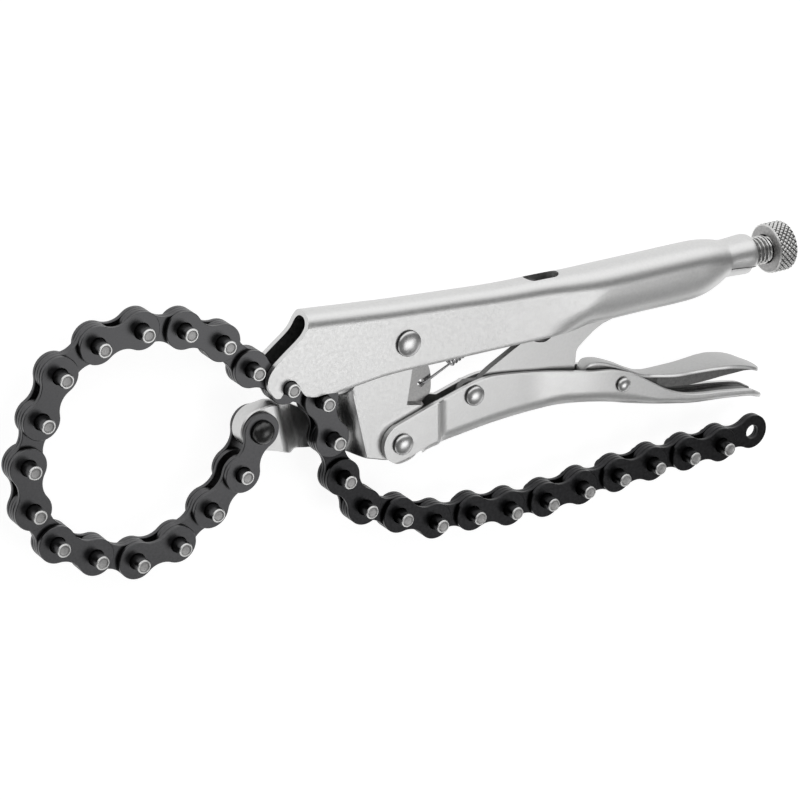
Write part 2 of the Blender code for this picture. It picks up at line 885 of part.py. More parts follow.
# Along (0 at the lever's front end, 1 at its pivot, 2 at its tail), top (of
# its depth, from the front end's top), half width from the body's to the
# tab's, and depth of the flanges
lever_station_shares = [
    (0.0, -0.50, -0.25, 0.35),
    (0.106, -0.10, -0.25, 0.70),
    (0.264, 0.0, -0.1, 0.75),
    (0.581, -0.09, 0.0, 0.90),
    (1.0, -0.38, 0.0, 1.0),
    (1.078, -0.66, 0.0, 0.85),
    (1.154, -0.90, 0.0, 0.70),
    (1.244, -1.03, 0.0, 0.62),
    (1.372, -1.12, 0.0, 0.60),
    (1.474, -1.15, 0.06, 0.60),
    (1.568, -1.17, 0.35, 0.60),
    (1.627, -1.19, 0.62, 0.60),
    (1.683, -1.23, 0.90, 0.58),
    (1.732, -1.26, 1.0, 0.54),
    (1.820, -1.35, 1.0, 0.46),
    (1.900, -1.49, 1.0, 0.36),
    (1.950, -1.63, 0.85, 0.29),
    (1.980, -1.73, 0.60, 0.25),
    (2.0, -1.80, 0.25, 0.22),
]
lever_core_share = 0.3


def lever_ring(along, top, swell, flange):
    """Ring of the lever's section: a tab over two narrow flanges."""
    x = (lever_front_x + min(along, 1) * lever_front_inset
         + max(along - 1, 0) * lever_rear)
    y = lever_front_y + top * lever_depth
    spread = tab_half_width - lever_half_width - lever_lip
    body = lever_half_width * min(1 + swell, 1)
    tab = body + lever_lip + max(swell, 0) * spread
    low = y - flange * lever_depth
    under = y - lever_sheet
    inner = max(body - lever_sheet, body * lever_core_share)
    edge = y - tab_sheet
    half = [(body, low), (body, edge), (tab, edge), (tab, y)]
    outer = half + [(-z, v) for z, v in reversed(half)]
    back = [(-inner, low), (-inner, under), (inner, under), (inner, low)]
    return [(x, v, z) for z, v in outer + back]


def build_release_lever(parent, metal):
    """The release lever, with its origin on its pivot."""
    bm = bmesh.new()
    rings = [[bm.verts.new(point) for point in lever_ring(*row)]
             for row in lever_station_shares]
    for first, second in zip(rings, rings[1:]):
        wall(bm, first, second)
    for verts in (rings[0], rings[-1]):
        for corners in ((0, 1, 10, 11), (1, 2, 3, 10), (10, 3, 4, 9),
                        (9, 4, 5, 6), (8, 9, 6, 7)):
            bm.faces.new([verts[corner] for corner in corners])
    bmesh.ops.triangulate(bm, faces=bm.faces)
    origin = Vector((release_x, release_y, 0.0))
    mesh = mesh_from(bm, "release_lever")
    mesh.transform(Matrix.Translation(-origin))
    lever = place("release_lever", mesh, metal, parent, origin)
    bm = bmesh.new()
    bore = circle((0.0, 0.0), release_rivet_radius + rivet_play, 14)
    depth = lever_half_width + overrun
    plate_solid(bm, bore, [], -depth, depth)
    cutter = mesh_from(bm, "release_bore")
    cut(lever, place_cutter("release_bore", cutter, parent, origin))


# Turned pieces

def turned_mesh(name, profile, segments, axis):
    """Spin a closed half profile of (radius, along) points about an axis."""
    bm = bmesh.new()
    rings = []
    for radius, along in profile:
        if radius < 1e-9:
            rings.append([bm.verts.new((0.0, 0.0, along))])
            continue
        rings.append([bm.verts.new((x, y, along)) for x, y in
                      circle((0.0, 0.0), radius, segments)])
    for first, second in zip(rings, rings[1:]):
        for index in range(segments):
            after = (index + 1) % segments
            corners = [first[index % len(first)], first[after % len(first)],
                       second[after % len(second)],
                       second[index % len(second)]]
            unique = list(dict.fromkeys(corners))
            bm.faces.new(unique)
    if axis == "X":
        bmesh.ops.rotate(bm, verts=bm.verts, cent=(0.0, 0.0, 0.0),
                         matrix=Matrix.Rotation(math.pi / 2, 3, "Y"))
    return mesh_from(bm, name)


def rivet_mesh(name, shank, head, seat, rim):
    """A rivet with a low domed head on each side."""
    rise = head_rise
    dome = []
    for step in range(3):
        angle = math.pi / 2 * step / 3
        dome.append((head * math.cos(angle),
                     seat + rim + (rise - head_rim) * math.sin(angle)))
    dome.append((0.0, seat + rim + rise - head_rim))
    near = [(shank, seat), (head, seat)] + dome
    far = [(radius, -along) for radius, along in reversed(near)]
    return turned_mesh(name, far + near, 12, "Z")


def build_rivets(parent, metal):
    """The five rivets at the pivots."""
    ear_seat = handle_half + fit_gap
    waist_seat = waist_half_width + fit_gap
    anchor_seat = anchor_plate_outer + fit_gap
    for name, x, y, shank, head, seat, rim in (
            ("jaw_pivot_rivet", 0.0, 0.0, jaw_rivet_radius,
             jaw_rivet_head, ear_seat, head_rim),
            ("lower_pivot_rivet", -jaw_lean, -jaw_drop, lower_rivet_radius,
             lower_rivet_head, ear_seat, head_rim),
            ("link_pivot_rivet", link_pivot_x, link_pivot_y,
             toggle_rivet_radius, toggle_rivet_head, waist_seat, head_rim),
            ("release_pivot_rivet", release_x, release_y,
             release_rivet_radius, release_rivet_head, ear_seat, head_rim),
            ("anchor_rivet", -arm_reach, -arm_drop, anchor_rivet_radius,
             anchor_rivet_head, anchor_seat, anchor_rim)):
        mesh = rivet_mesh(name, shank, head, seat, rim)
        place(name, mesh, metal, parent, (x, y, 0.0))


def build_screw(parent, metal):
    """The adjusting screw and the knob on its end."""
    tip = link_end_x + link_end_radius + link_seat_gap
    knob_front = handle_length + knob_gap
    end = knob_front + knob_socket - fit_gap
    length = end - tip
    shank = [(0.0, 0.0), (screw_radius - screw_chamfer, 0.0),
             (screw_radius, screw_chamfer), (screw_radius, length),
             (0.0, length)]
    place("adjusting_screw", turned_mesh("adjusting_screw", shank, 20, "X"),
          metal, parent, (tip, screw_axis_y, 0.0))
    bore = screw_radius + fit_gap
    rim = knob_radius - knob_round
    back = knob_length - knob_round
    profile = [(0.0, knob_socket), (bore, knob_socket), (bore, 0.0),
               (knob_radius - screw_chamfer, 0.0),
               (knob_radius, screw_chamfer)]
    profile += [(rim + knob_round * math.cos(math.radians(angle)),
                 back + knob_round * math.sin(math.radians(angle)))
                for angle in (0, 30, 60, 90)]
    profile.append((0.0, knob_length))
    place("adjusting_knob", turned_mesh("adjusting_knob", profile, 32, "X"),
          metal, parent, (knob_front, screw_axis_y, 0.0))


# Spring

# Side view of the lug's hook, from its tip through the hole to the coil:
# along (of the hook's reach) and across (of the coil's radius)
hook_shares = [(0.36, -1.0), (0.14, -0.97), (0.0, -0.62), (0.0, 0.62),
               (0.14, 0.97), (0.5, 1.0)]
# The far hook, from the coil through the tongue's hole and back above it
far_hook_shares = [(-0.2, 0.0), (0.15, 0.0), (0.42, 0.35), (0.5, 0.85),
                   (0.4, 1.35), (0.22, 1.5)]


def spring_points():
    """Centre line of the spring, from the lug's hook to the far hook.

    The line is made along +X from the lug's hole and then turned towards
    the tongue in the upper handle.
    """
    start = Vector((lug_x, lug_y, 0.0))
    end = Vector((spring_end_x, spring_end_y, 0.0))
    along = end - start
    length = along.length
    points = []
    for share, across in hook_shares:
        points.append(Vector((share * hook_reach, 0.0,
                              across * coil_radius)))
    steps = coil_turns * curl_points
    body_start = hook_reach + spring_shank
    for step in range(steps + 1):
        angle = 2 * math.pi * step / curl_points
        points.append(Vector((body_start + coil_pitch * step / curl_points,
                              coil_radius * math.sin(angle),
                              coil_radius * math.cos(angle))))
    body_end = body_start + coil_pitch * coil_turns
    points.append(Vector((body_end + coil_radius, 0.0, coil_radius / 2)))
    points.append(Vector((body_end + coil_radius * 2, 0.0, 0.0)))
    for share, across in far_hook_shares:
        points.append(Vector((length + share * hook_reach,
                              across * coil_radius, 0.0)))
    turn = Matrix.Rotation(math.atan2(along.y, along.x), 4, "Z")
    return [turn @ point for point in points]


def least_gap(points):
    """Least gap of the wire to itself, from one curl to the others."""
    least = math.inf
    near = curl_points // 2 + 1
    for index, point in enumerate(points):
        for other in points[index + near:]:
            least = min(least, (other - point).length)
    return least - 2 * wire_radius


def build_spring(parent, metal):
    """The tension spring between the jaw's lug and the upper handle."""
    curve = bpy.data.curves.new("jaw_spring", "CURVE")
    curve.dimensions = "3D"
    curve.bevel_depth = wire_radius
    curve.bevel_resolution = 1
    curve.use_fill_caps = True
    points = spring_points()
    print("least spring gap", round(least_gap(points) / mm, 3), "mm")
    spline = curve.splines.new("POLY")
    spline.points.add(len(points) - 1)
    for slot, point in zip(spline.points, points):
        slot.co = (*point, 1.0)
    place("jaw_spring", curve, metal, parent, (lug_x, lug_y, 0.0))


def stand_on_origin(root):
    """Move the whole tool so that its box stands on the world origin."""
    bpy.context.view_layer.update()
    graph = bpy.context.evaluated_depsgraph_get()
    low = Vector((math.inf,) * 3)
    high = Vector((-math.inf,) * 3)
    for item in bpy.data.objects:
        if item.hide_render or item.type not in {"MESH", "CURVE"}:
            continue
        shape = item.evaluated_get(graph)
        mesh = shape.to_mesh()
        for vert in mesh.vertices:
            point = shape.matrix_world @ vert.co
            for index in range(3):
                low[index] = min(low[index], point[index])
                high[index] = max(high[index], point[index])
        shape.to_mesh_clear()
    root.location = (-(low.x + high.x) / 2, -(low.y + high.y) / 2, -low.z)
    print("size", [round(v, 5) for v in high - low])
    print("jaw pivot", [round(v, 6) for v in root.location])


def build():
    """Make the whole tool."""
    clear_scene()
    satin = make_material("satin_nickel", steel, 0.32, 1.0)
    bright = make_material("bright_rivet", bright_steel, 0.16, 1.0)
    black = make_material("black_chain", black_oxide, 0.45, 0.85)
    wire = make_material("spring_wire", spring_steel, 0.35, 1.0)
    root = bpy.data.objects.new("chain_clamp", None)
    bpy.context.collection.objects.link(root)
    build_upper_handle(root, satin)
    build_jaw(root, satin)
    build_lower_handle(root, satin)
    build_toggle_link(root, satin)
    build_release_lever(root, satin)
    build_rivets(root, bright)
    build_screw(root, satin)
    build_spring(root, wire)
    build_chain(root, black)
    stand_on_origin(root)


build()
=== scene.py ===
import json
import math

import bmesh
import bpy
from mathutils import Matrix, Vector


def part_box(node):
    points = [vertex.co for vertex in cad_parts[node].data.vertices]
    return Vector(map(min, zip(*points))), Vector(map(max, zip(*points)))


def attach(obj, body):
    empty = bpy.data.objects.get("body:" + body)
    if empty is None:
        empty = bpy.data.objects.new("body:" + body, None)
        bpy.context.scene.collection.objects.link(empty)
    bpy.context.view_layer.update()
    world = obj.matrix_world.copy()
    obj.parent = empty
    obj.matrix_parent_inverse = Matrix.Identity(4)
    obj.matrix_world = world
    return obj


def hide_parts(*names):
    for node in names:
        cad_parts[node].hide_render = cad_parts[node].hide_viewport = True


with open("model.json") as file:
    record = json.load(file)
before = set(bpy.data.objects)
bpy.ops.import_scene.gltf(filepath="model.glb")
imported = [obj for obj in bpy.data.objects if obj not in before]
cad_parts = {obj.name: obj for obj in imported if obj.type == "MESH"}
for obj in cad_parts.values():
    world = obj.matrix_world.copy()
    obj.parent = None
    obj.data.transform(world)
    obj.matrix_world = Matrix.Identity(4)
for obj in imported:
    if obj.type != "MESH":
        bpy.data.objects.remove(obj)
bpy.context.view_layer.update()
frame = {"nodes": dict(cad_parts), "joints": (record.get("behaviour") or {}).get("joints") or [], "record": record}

mm = 0.001
A = (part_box("jaw_pivot_rivet")[0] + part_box("jaw_pivot_rivet")[1]) / 2
tiny = 1e-9


# Materials

# Scales of the noise, which is in metres, and the bumps it gives
dent_scale, tone_scale, grain_scale = 55.0, 900.0, 2600.0
noise_roughness = 0.55
dent_strength, dent_depth = 0.04, 0.6 * mm
grain_depth = 0.06 * mm
tone_low, tone_high = 0.3, 0.7


def new_material(name):
    """A material with its nodes, its links and its shader."""
    material = bpy.data.materials.new(name)
    material.use_nodes = True
    tree = material.node_tree
    return material, tree.nodes, tree.links, tree.nodes["Principled BSDF"]


def add(nodes, kind, **values):
    """A new node with some of its settings."""
    node = nodes.new(kind)
    for key, value in values.items():
        setattr(node, key, value)
    return node


def ramp(nodes, links, source, stops):
    """A ramp through grey values or colours, driven by a number."""
    node = add(nodes, "ShaderNodeValToRGB")
    elements = node.color_ramp.elements
    while len(elements) < len(stops):
        elements.new(0.5)
    for element, (place, value) in zip(elements, stops):
        element.position = place
        if isinstance(value, (int, float)):
            value = (value, value, value)
        element.color = (*value, 1.0)
    links.new(source, node.inputs["Fac"])
    return node


def noise(nodes, links, scale, detail=4.0):
    """Noise that keeps its place on the piece."""
    place = add(nodes, "ShaderNodeTexCoord")
    node = add(nodes, "ShaderNodeTexNoise")
    node.inputs["Scale"].default_value = scale
    node.inputs["Detail"].default_value = detail
    node.inputs["Roughness"].default_value = noise_roughness
    links.new(place.outputs["Object"], node.inputs["Vector"])
    return node


def bump(nodes, links, shader, sources):
    """A chain of bumps, from rows of height, strength and distance."""
    last = None
    for source, strength, distance in sources:
        node = add(nodes, "ShaderNodeBump")
        node.inputs["Strength"].default_value = strength
        node.inputs["Distance"].default_value = distance
        links.new(source, node.inputs["Height"])
        if last:
            links.new(last.outputs["Normal"], node.inputs["Normal"])
        last = node
    links.new(last.outputs["Normal"], shader.inputs["Normal"])


def metal(name, low, high, rough_low, rough_high, grain):
    """Metal with small changes of tone, a fine grain and faint dents."""
    material, nodes, links, shader = new_material(name)
    slow = noise(nodes, links, dent_scale)
    fine = noise(nodes, links, grain_scale, 2.0)
    mid = noise(nodes, links, tone_scale)
    tone = ramp(nodes, links, mid.outputs["Fac"],
                [(tone_low, low), (tone_high, high)])
    links.new(tone.outputs["Color"], shader.inputs["Base Color"])
    rough = ramp(nodes, links, mid.outputs["Fac"],
                 [(tone_low, rough_low), (tone_high, rough_high)])
    links.new(rough.outputs["Color"], shader.inputs["Roughness"])
    shader.inputs["Metallic"].default_value = 1.0
    bump(nodes, links, shader,
         [(slow.outputs["Fac"], dent_strength, dent_depth),
          (fine.outputs["Fac"], grain, grain_depth)])
    return material


satin = metal("satin nickel", (0.62, 0.62, 0.617), (0.68, 0.68, 0.677),
              0.34, 0.42, 0.35)
# A darker copy of the satin nickel, painted shade on the release lever
shaded_nickel = metal("shaded nickel", (0.42, 0.42, 0.418), (0.50, 0.50, 0.497),
             0.36, 0.46, 0.4)
# Painted shade: a dark metal for inner faces, thread valleys, the spring tongue, parts of the release lever and
# edges that lie in shade
painted_shade = metal("painted shade", (0.14, 0.14, 0.14), (0.22, 0.22, 0.217),
               0.42, 0.55, 0.4)
bright = metal("bright rivet", (0.55, 0.55, 0.55), (0.64, 0.64, 0.637),
               0.26, 0.34, 0.15)
black = metal("black oxide", (0.070, 0.070, 0.072), (0.095, 0.095, 0.098),
              0.30, 0.38, 0.25)
# A darker copy of the black oxide, painted shade for the tail's links
shaded_oxide = metal("shaded oxide", (0.024, 0.024, 0.025), (0.038, 0.038, 0.040),
              0.28, 0.36, 0.25)
# Steel of the pins' ends, also painted shade in the jaw's lug recess and on the knob's front
pin_end_and_shade = metal("pin end and painted shade", (0.26, 0.26, 0.26), (0.46, 0.455, 0.45),
                 0.34, 0.50, 0.3)
pin_rim = metal("pin rim", (0.50, 0.50, 0.50), (0.62, 0.62, 0.61),
                0.26, 0.36, 0.2)
wire = metal("spring wire", (0.34, 0.34, 0.345), (0.48, 0.48, 0.485),
             0.24, 0.36, 0.15)
dark = metal("dark rivet", (0.05, 0.05, 0.05), (0.09, 0.09, 0.09),
             0.24, 0.36, 0.15)
knurl = metal("knurled steel", (0.56, 0.56, 0.555), (0.68, 0.68, 0.67),
              0.26, 0.38, 0.2)
thread = metal("thread crests", (0.60, 0.60, 0.595), (0.72, 0.72, 0.71),
               0.22, 0.34, 0.15)
# Painted shade in the knurl's valleys and a painted contact shadow round the rivet heads
painted_groove_shade = metal("painted groove shade", (0.05, 0.05, 0.05), (0.10, 0.10, 0.10),
               0.34, 0.46, 0.15)
slots = {"satin_nickel": satin, "bright_rivet": bright,
         "black_chain": black, "spring_wire": wire}
for row in frame["record"]["subparts"]:
    node = frame["nodes"][row["node"]]
    node.data.materials.clear()
    node.data.materials.append(slots[row["material_slot"]])


# Sizes, read from the frame where it gives them

root_z = A.z
pitch = 15.875 * mm
sheet = 2.1 * mm
fit_gap = 0.3 * mm
plate_inner = 1.85 * mm
plate_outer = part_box("anchor_plate_front")[0].z - root_z - fit_gap
pin_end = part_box("outer_link_18")[1].z - root_z
pin_radius = 2.54 * mm
jaw_half = plate_outer
knob_radius = (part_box("adjusting_knob")[1].z
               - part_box("adjusting_knob")[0].z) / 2

# Sizes that several pieces share
cutter_half = 9.0 * mm
lower_pivot = (-2.2, -37.1)
lug_hole = (8.2, -18.2)
hook_centre = (-46.5, -6.6)


# Shapes

# Steps between two points of a spline
fine_steps, plain_steps = 6, 5
quarters = (0.25, 0.5, 0.75)
sharp_angle = 32.0
flat_weight = 80


def arc(centre, radius, start, end, steps):
    """Points on a circle, from one angle to another in degrees."""
    points = []
    for step in range(steps + 1):
        angle = math.radians(start + (end - start) * step / steps)
        points.append((centre[0] + radius * math.cos(angle),
                       centre[1] + radius * math.sin(angle)))
    return points


def spline(points, steps):
    """A Catmull-Rom curve through rows of numbers."""
    result = []
    last = len(points) - 1
    for index in range(last):
        rows = (points[max(index - 1, 0)], points[index],
                points[index + 1], points[min(index + 2, last)])
        for step in range(steps):
            t = step / steps
            result.append(tuple(
                0.5 * (2 * b + (c - a) * t
                       + (2 * a - 5 * b + 4 * c - d) * t * t
                       + (3 * b - a - 3 * c + d) * t ** 3)
                for a, b, c, d in zip(*rows)))
    result.append(tuple(points[last]))
    return result


def in_mm(points):
    return [(x * mm, y * mm) for x, y in points]


def smoothstep(t):
    t = min(max(t, 0.0), 1.0)
    return t * t * (3 - 2 * t)


def inset(points, distance):
    """Move a closed outline inwards by a distance."""
    count = len(points)
    area = sum(points[i][0] * points[(i + 1) % count][1]
               - points[(i + 1) % count][0] * points[i][1]
               for i in range(count))
    side = 1.0 if area > 0 else -1.0
    moved = []
    for index, point in enumerate(points):
        normal = Vector((0.0, 0.0))
        for a, b in ((index - 1, index), (index, (index + 1) % count)):
            along = Vector(points[b]) - Vector(points[a])
            if along.length > tiny:
                normal += Vector((-along.y, along.x)).normalized()
        if normal.length > tiny:
            normal.normalize()
        moved.append((point[0] + normal.x * distance * side,
                      point[1] + normal.y * distance * side))
    return moved


def ring(bm, points, z):
    return [bm.verts.new((x, y, z)) for x, y in points]


def wall(bm, first, second, materials=(0,)):
    """Join two loops; strip by strip, the last material serves the rest."""
    count = len(first)
    for index in range(count):
        after = (index + 1) % count
        face = bm.faces.new((first[index], first[after],
                             second[after], second[index]))
        face.material_index = materials[min(index, len(materials) - 1)]


def fill(bm, loops):
    """Fill the flat area between an outline and its holes."""
    edges = []
    for verts in loops:
        for index, vert in enumerate(verts):
            after = verts[(index + 1) % len(verts)]
            edges.append(bm.edges.get((vert, after))
                         or bm.edges.new((vert, after)))
    bmesh.ops.triangle_fill(bm, edges=edges, use_beauty=True)


def prism(outline, low, high, taper=0.0):
    """A block between two heights, narrower by the taper at the low end."""
    bm = bmesh.new()
    rings = [ring(bm, inset(outline, taper), low), ring(bm, outline, high)]
    wall(bm, rings[0], rings[1])
    for verts in rings:
        fill(bm, [verts])
    return bm


def plate(bm, outline, holes, low, high, edge):
    """A flat plate with holes and chamfered rims."""
    levels = [(low, edge), (low + edge, 0.0), (high - edge, 0.0),
              (high, edge)]
    loops = []
    for z, amount in levels:
        group = [ring(bm, inset(outline, amount), z)]
        for hole in holes:
            group.append(ring(bm, inset(hole, -amount), z))
        loops.append(group)
    fill(bm, loops[0])
    fill(bm, loops[-1])
    for first, second in zip(loops, loops[1:]):
        for a, b in zip(first, second):
            wall(bm, a, b)


def turned(bm, profile, segments, materials=(0,), centre=(0.0, 0.0)):
    """Spin (radius, z) points about an axis along Z.

    Each strip between two points takes the next of the materials, and the
    last of them serves for the strips that are left.
    """
    rings = []
    for radius, z in profile:
        if radius < tiny:
            rings.append([bm.verts.new((centre[0], centre[1], z))])
            continue
        rings.append([bm.verts.new((x, y, z)) for x, y in
                      arc(centre, radius, 0, 360, segments)[:-1]])
    for strip, (first, second) in enumerate(zip(rings, rings[1:])):
        material = materials[min(strip, len(materials) - 1)]
        for index in range(segments):
            after = (index + 1) % segments
            corners = [first[index % len(first)], first[after % len(first)],
                       second[after % len(second)],
                       second[index % len(second)]]
            face = bm.faces.new(list(dict.fromkeys(corners)))
            face.material_index = material


def to_mesh(bm, name, materials, angle=sharp_angle):
    """A smooth mesh, sharp where its faces meet at more than the angle."""
    bmesh.ops.recalc_face_normals(bm, faces=bm.faces)
    mesh = bpy.data.meshes.new(name)
    bm.to_mesh(mesh)
    bm.free()
    for material in materials:
        mesh.materials.append(material)
    mesh.shade_smooth()
    mesh.set_sharp_from_angle(angle=math.radians(angle))
    return mesh


def show(name, data, body, nodes=(), matrix=None):
    """Add a piece, let it ride its body and stand for its nodes."""
    item = bpy.data.objects.new(name, data)
    bpy.context.scene.collection.objects.link(item)
    item.matrix_world = matrix or Matrix.Translation(A)
    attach(item, body)
    if nodes:
        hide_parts(*nodes)
    return item


def settle(item, *cutters):
    """Turn an object with modifiers into a plain mesh."""
    bpy.context.view_layer.update()
    graph = bpy.context.evaluated_depsgraph_get()
    mesh = bpy.data.meshes.new_from_object(item.evaluated_get(graph))
    item.modifiers.clear()
    item.data = mesh
    for cutter in cutters:
        bpy.data.objects.remove(cutter)


def cut_with(item, bm, name, material=0):
    """Add a Boolean that takes a solid away, and return the cutter."""
    bmesh.ops.recalc_face_normals(bm, faces=bm.faces)
    for face in bm.faces:
        face.material_index = material
    mesh = bpy.data.meshes.new(name)
    bm.to_mesh(mesh)
    bm.free()
    for slot in item.data.materials:
        mesh.materials.append(slot)
    cutter = bpy.data.objects.new(name, mesh)
    bpy.context.scene.collection.objects.link(cutter)
    cutter.location = A
    boolean = item.modifiers.new(name, "BOOLEAN")
    boolean.operation = "DIFFERENCE"
    boolean.solver = "EXACT"
    boolean.object = cutter
    return cutter


def soften(item, width, angle, segments=2):
    """Round the edges that are sharper than the angle."""
    bevel = item.modifiers.new("edge", "BEVEL")
    bevel.width = width
    bevel.segments = segments
    bevel.limit_method = "ANGLE"
    bevel.angle_limit = math.radians(angle)
    normals = item.modifiers.new("normals", "WEIGHTED_NORMAL")
    normals.keep_sharp = True
    normals.weight = flat_weight


# Chain

loop_links, last_link = 16, 31
# The links after this one take the darker oxide, painted shade for the shade they lie in
shaded_tail_after = 18
link_radius, link_waist = 6.62 * mm, 4.2 * mm
link_edge = 0.22 * mm
seat_gap = 0.22 * mm
plate_gap = 0.05 * mm
anchor_hole = 3.5 * mm
round_steps, hollow_steps = 28, 10
core_steps = 24
pin_sink, core_sink = 0.2 * mm, 0.1 * mm
# How far the rings of a pin's end lie inside its radius and below its tip,
# in mm, and the materials of the strips from its foot to its middle
pin_end_rings = [(0.0, 0.5), (0.1, 0.25), (0.34, 0.0), (0.6, 0.0),
                 (0.85, 0.16), (1.3, 0.2)]
pin_end_strips = (0, 0, 0, 2, 2, 2, 1)


def link_outline():
    """Waisted plate from one pin to the next along +X."""
    radius, waist = link_radius, link_waist
    middle = pitch / 2
    hollow = ((middle ** 2 + waist ** 2 - radius ** 2)
              / (2 * (radius - waist)))
    tangent = math.degrees(math.atan2(waist + hollow, middle))
    sweep = 90 - tangent
    points = arc((0.0, 0.0), radius, tangent, 360 - tangent, round_steps)
    points += arc((middle, -waist - hollow), hollow,
                  90 + sweep, 90 - sweep, hollow_steps)[1:-1]
    points += arc((pitch, 0.0), radius, tangent - 180, 180 - tangent,
                  round_steps)
    points += arc((middle, waist + hollow), hollow,
                  sweep - 90, -sweep - 90, hollow_steps)[1:-1]
    return points


def pin_profile(side):
    """Half profile of a pin's free end, with a turned rim."""
    base = (plate_outer - pin_sink) * side
    tip = pin_end * side
    rings = [(pin_radius - inward * mm, tip - below * mm * side)
             for inward, below in pin_end_rings]
    return ([(0.0, base), (pin_radius, base)] + rings
            + [(0.0, rings[-1][1])])


def outer_link_shape(outline, seats, edge, tone):
    """Two outer plates with two long pins, black but for the pins' ends."""
    bm = bmesh.new()
    for side in (-1, 1):
        low, high = sorted((plate_inner * side, plate_outer * side))
        plate(bm, outline, seats, low, high, edge)
        for x in (0.0, pitch):
            turned(bm, pin_profile(side), round_steps, pin_end_strips,
                   (x, 0.0))
    reach = plate_outer - core_sink
    for x in (0.0, pitch):
        turned(bm, [(0.0, -reach), (pin_radius, -reach),
                    (pin_radius, reach), (0.0, reach)],
               core_steps, (0,), (x, 0.0))
    return to_mesh(bm, "outer_link_shape", [tone, pin_end_and_shade, pin_rim])


def inner_link_shape(outline, seats, edge, tone):
    """Two inner plates side by side."""
    bm = bmesh.new()
    thick = plate_outer - plate_inner
    for low in (-thick, plate_gap):
        plate(bm, outline, seats, low, low + thick - plate_gap, edge)
    return to_mesh(bm, "inner_link_shape", [tone])


def anchor_plate_shape(outline, seats, edge):
    """The plate between the anchor rivet and the chain's first pin."""
    bm = bmesh.new()
    holes = [arc((0.0, 0.0), anchor_hole, 0, 360, round_steps)[:-1],
             seats[1]]
    plate(bm, outline, holes, 0.0, plate_outer - plate_inner, edge)
    return to_mesh(bm, "anchor_plate_shape", [black])


def pin_places():
    """Each link's first pin, from the link's joint, and the last hole."""
    places = {row["name"]: row["pos_m"] for row in frame["joints"]}
    names = ["loop_%02d" % number for number in range(1, loop_links + 1)]
    names += ["tail_%02d" % number
              for number in range(loop_links + 1, last_link + 1)]
    last = [mount["pos_m"] for mount in frame["record"]["mounts"]
            if mount["name"] == "tail_hole"]
    return [Vector(row[:2]) for row in
            [places[name] for name in names] + last]


def build_links():
    """The chain's links, each on its own body."""
    outline = link_outline()
    seats = [arc((x, 0.0), pin_radius + seat_gap, 0, 360, round_steps)[:-1]
             for x in (0.0, pitch)]
    outer, outer_shaded = [outer_link_shape(outline, seats, link_edge, tone)
                          for tone in (black, shaded_oxide)]
    inner, inner_shaded = [inner_link_shape(outline, seats, link_edge, tone)
                          for tone in (black, shaded_oxide)]
    anchor = anchor_plate_shape(outline, seats, link_edge)
    pins = pin_places()
    for number in range(1, last_link + 1):
        start, end = pins[number - 1], pins[number]
        if number == 1:
            pieces = [("anchor_plate_front", anchor, "anchor_link"),
                      ("anchor_plate_back", anchor, "anchor_link")]
        else:
            kind = "inner" if number % 2 else "outer"
            shape = inner if number % 2 else outer
            # The tail's links take the darker copies as painted shade
            if number > shaded_tail_after:
                shape = inner_shaded if number % 2 else outer_shaded
            pieces = [("%s_link_%02d" % (kind, number), shape,
                       "link_%02d" % number)]
        angle = math.atan2(end.y - start.y, end.x - start.x)
        for name, shape, body in pieces:
            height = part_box(name)[0].z if number == 1 else root_z
            data = shape.copy()
            data.transform(Matrix.Rotation(angle, 4, "Z"))
            place = Matrix.Translation((start.x, start.y, height))
            show(name + "_piece", data, body, [name], place)


build_links()


# Upper handle

# Along, top, bottom, half width, curl of the flanges below and slot between
# them. All the rows and outlines are in mm from the jaw pivot.
upper_rows = [
    (-63.0, 20.3, -12.6, 5.8, 0.0, 4.2),
    (-34.6, 17.85, -12.6, 5.8, 0.0, 4.2),
    (-24.7, 16.9, -11.9, 5.8, 0.0, 4.2),
    (-14.7, 16.0, -10.8, 5.8, 0.0, 4.2),
    (-4.7, 15.1, -10.1, 5.8, 0.0, 4.2),
    (20.0, 13.3, -10.1, 5.8, 0.0, 4.2),
    (40.0, 12.0, -10.1, 6.02, 0.0, 4.2),
    (58.0, 11.6, -10.1, 6.57, 0.0, 4.2),
    (70.0, 11.2, -10.1, 7.23, 0.35, 4.2),
    (82.0, 11.15, -10.1, 8.0, 1.0, 4.2),
    (100.0, 11.15, -10.1, 8.0, 1.0, 4.2),
    (120.0, 11.2, -10.1, 8.0, 1.0, 4.2),
    (128.2, 10.9, -9.15, 7.94, 1.0, 4.0),
    (133.9, 9.97, -7.3, 7.52, 1.0, 2.4),
    (137.4, 9.05, -5.4, 7.05, 1.0, 0.8),
    (138.9, 8.83, -5.03, 6.94, 1.0, 0.6),
    (143.0, 8.98, -5.18, 7.08, 1.0, 0.6),
    (147.0, 9.2, -5.4, 7.3, 1.0, 0.6),
    (148.9, 9.17, -5.37, 7.27, 1.0, 0.6),
    (150.0, 8.9, -5.1, 7.0, 1.0, 0.6),
]
fold_share = 0.96
belly_share = 0.97
shoulder_start, neck_start = 128.2, 138.9
neck_bore = 5.6
flange_steps, crown_steps = 9, 14
least_corner, least_curl = 0.3, 0.002
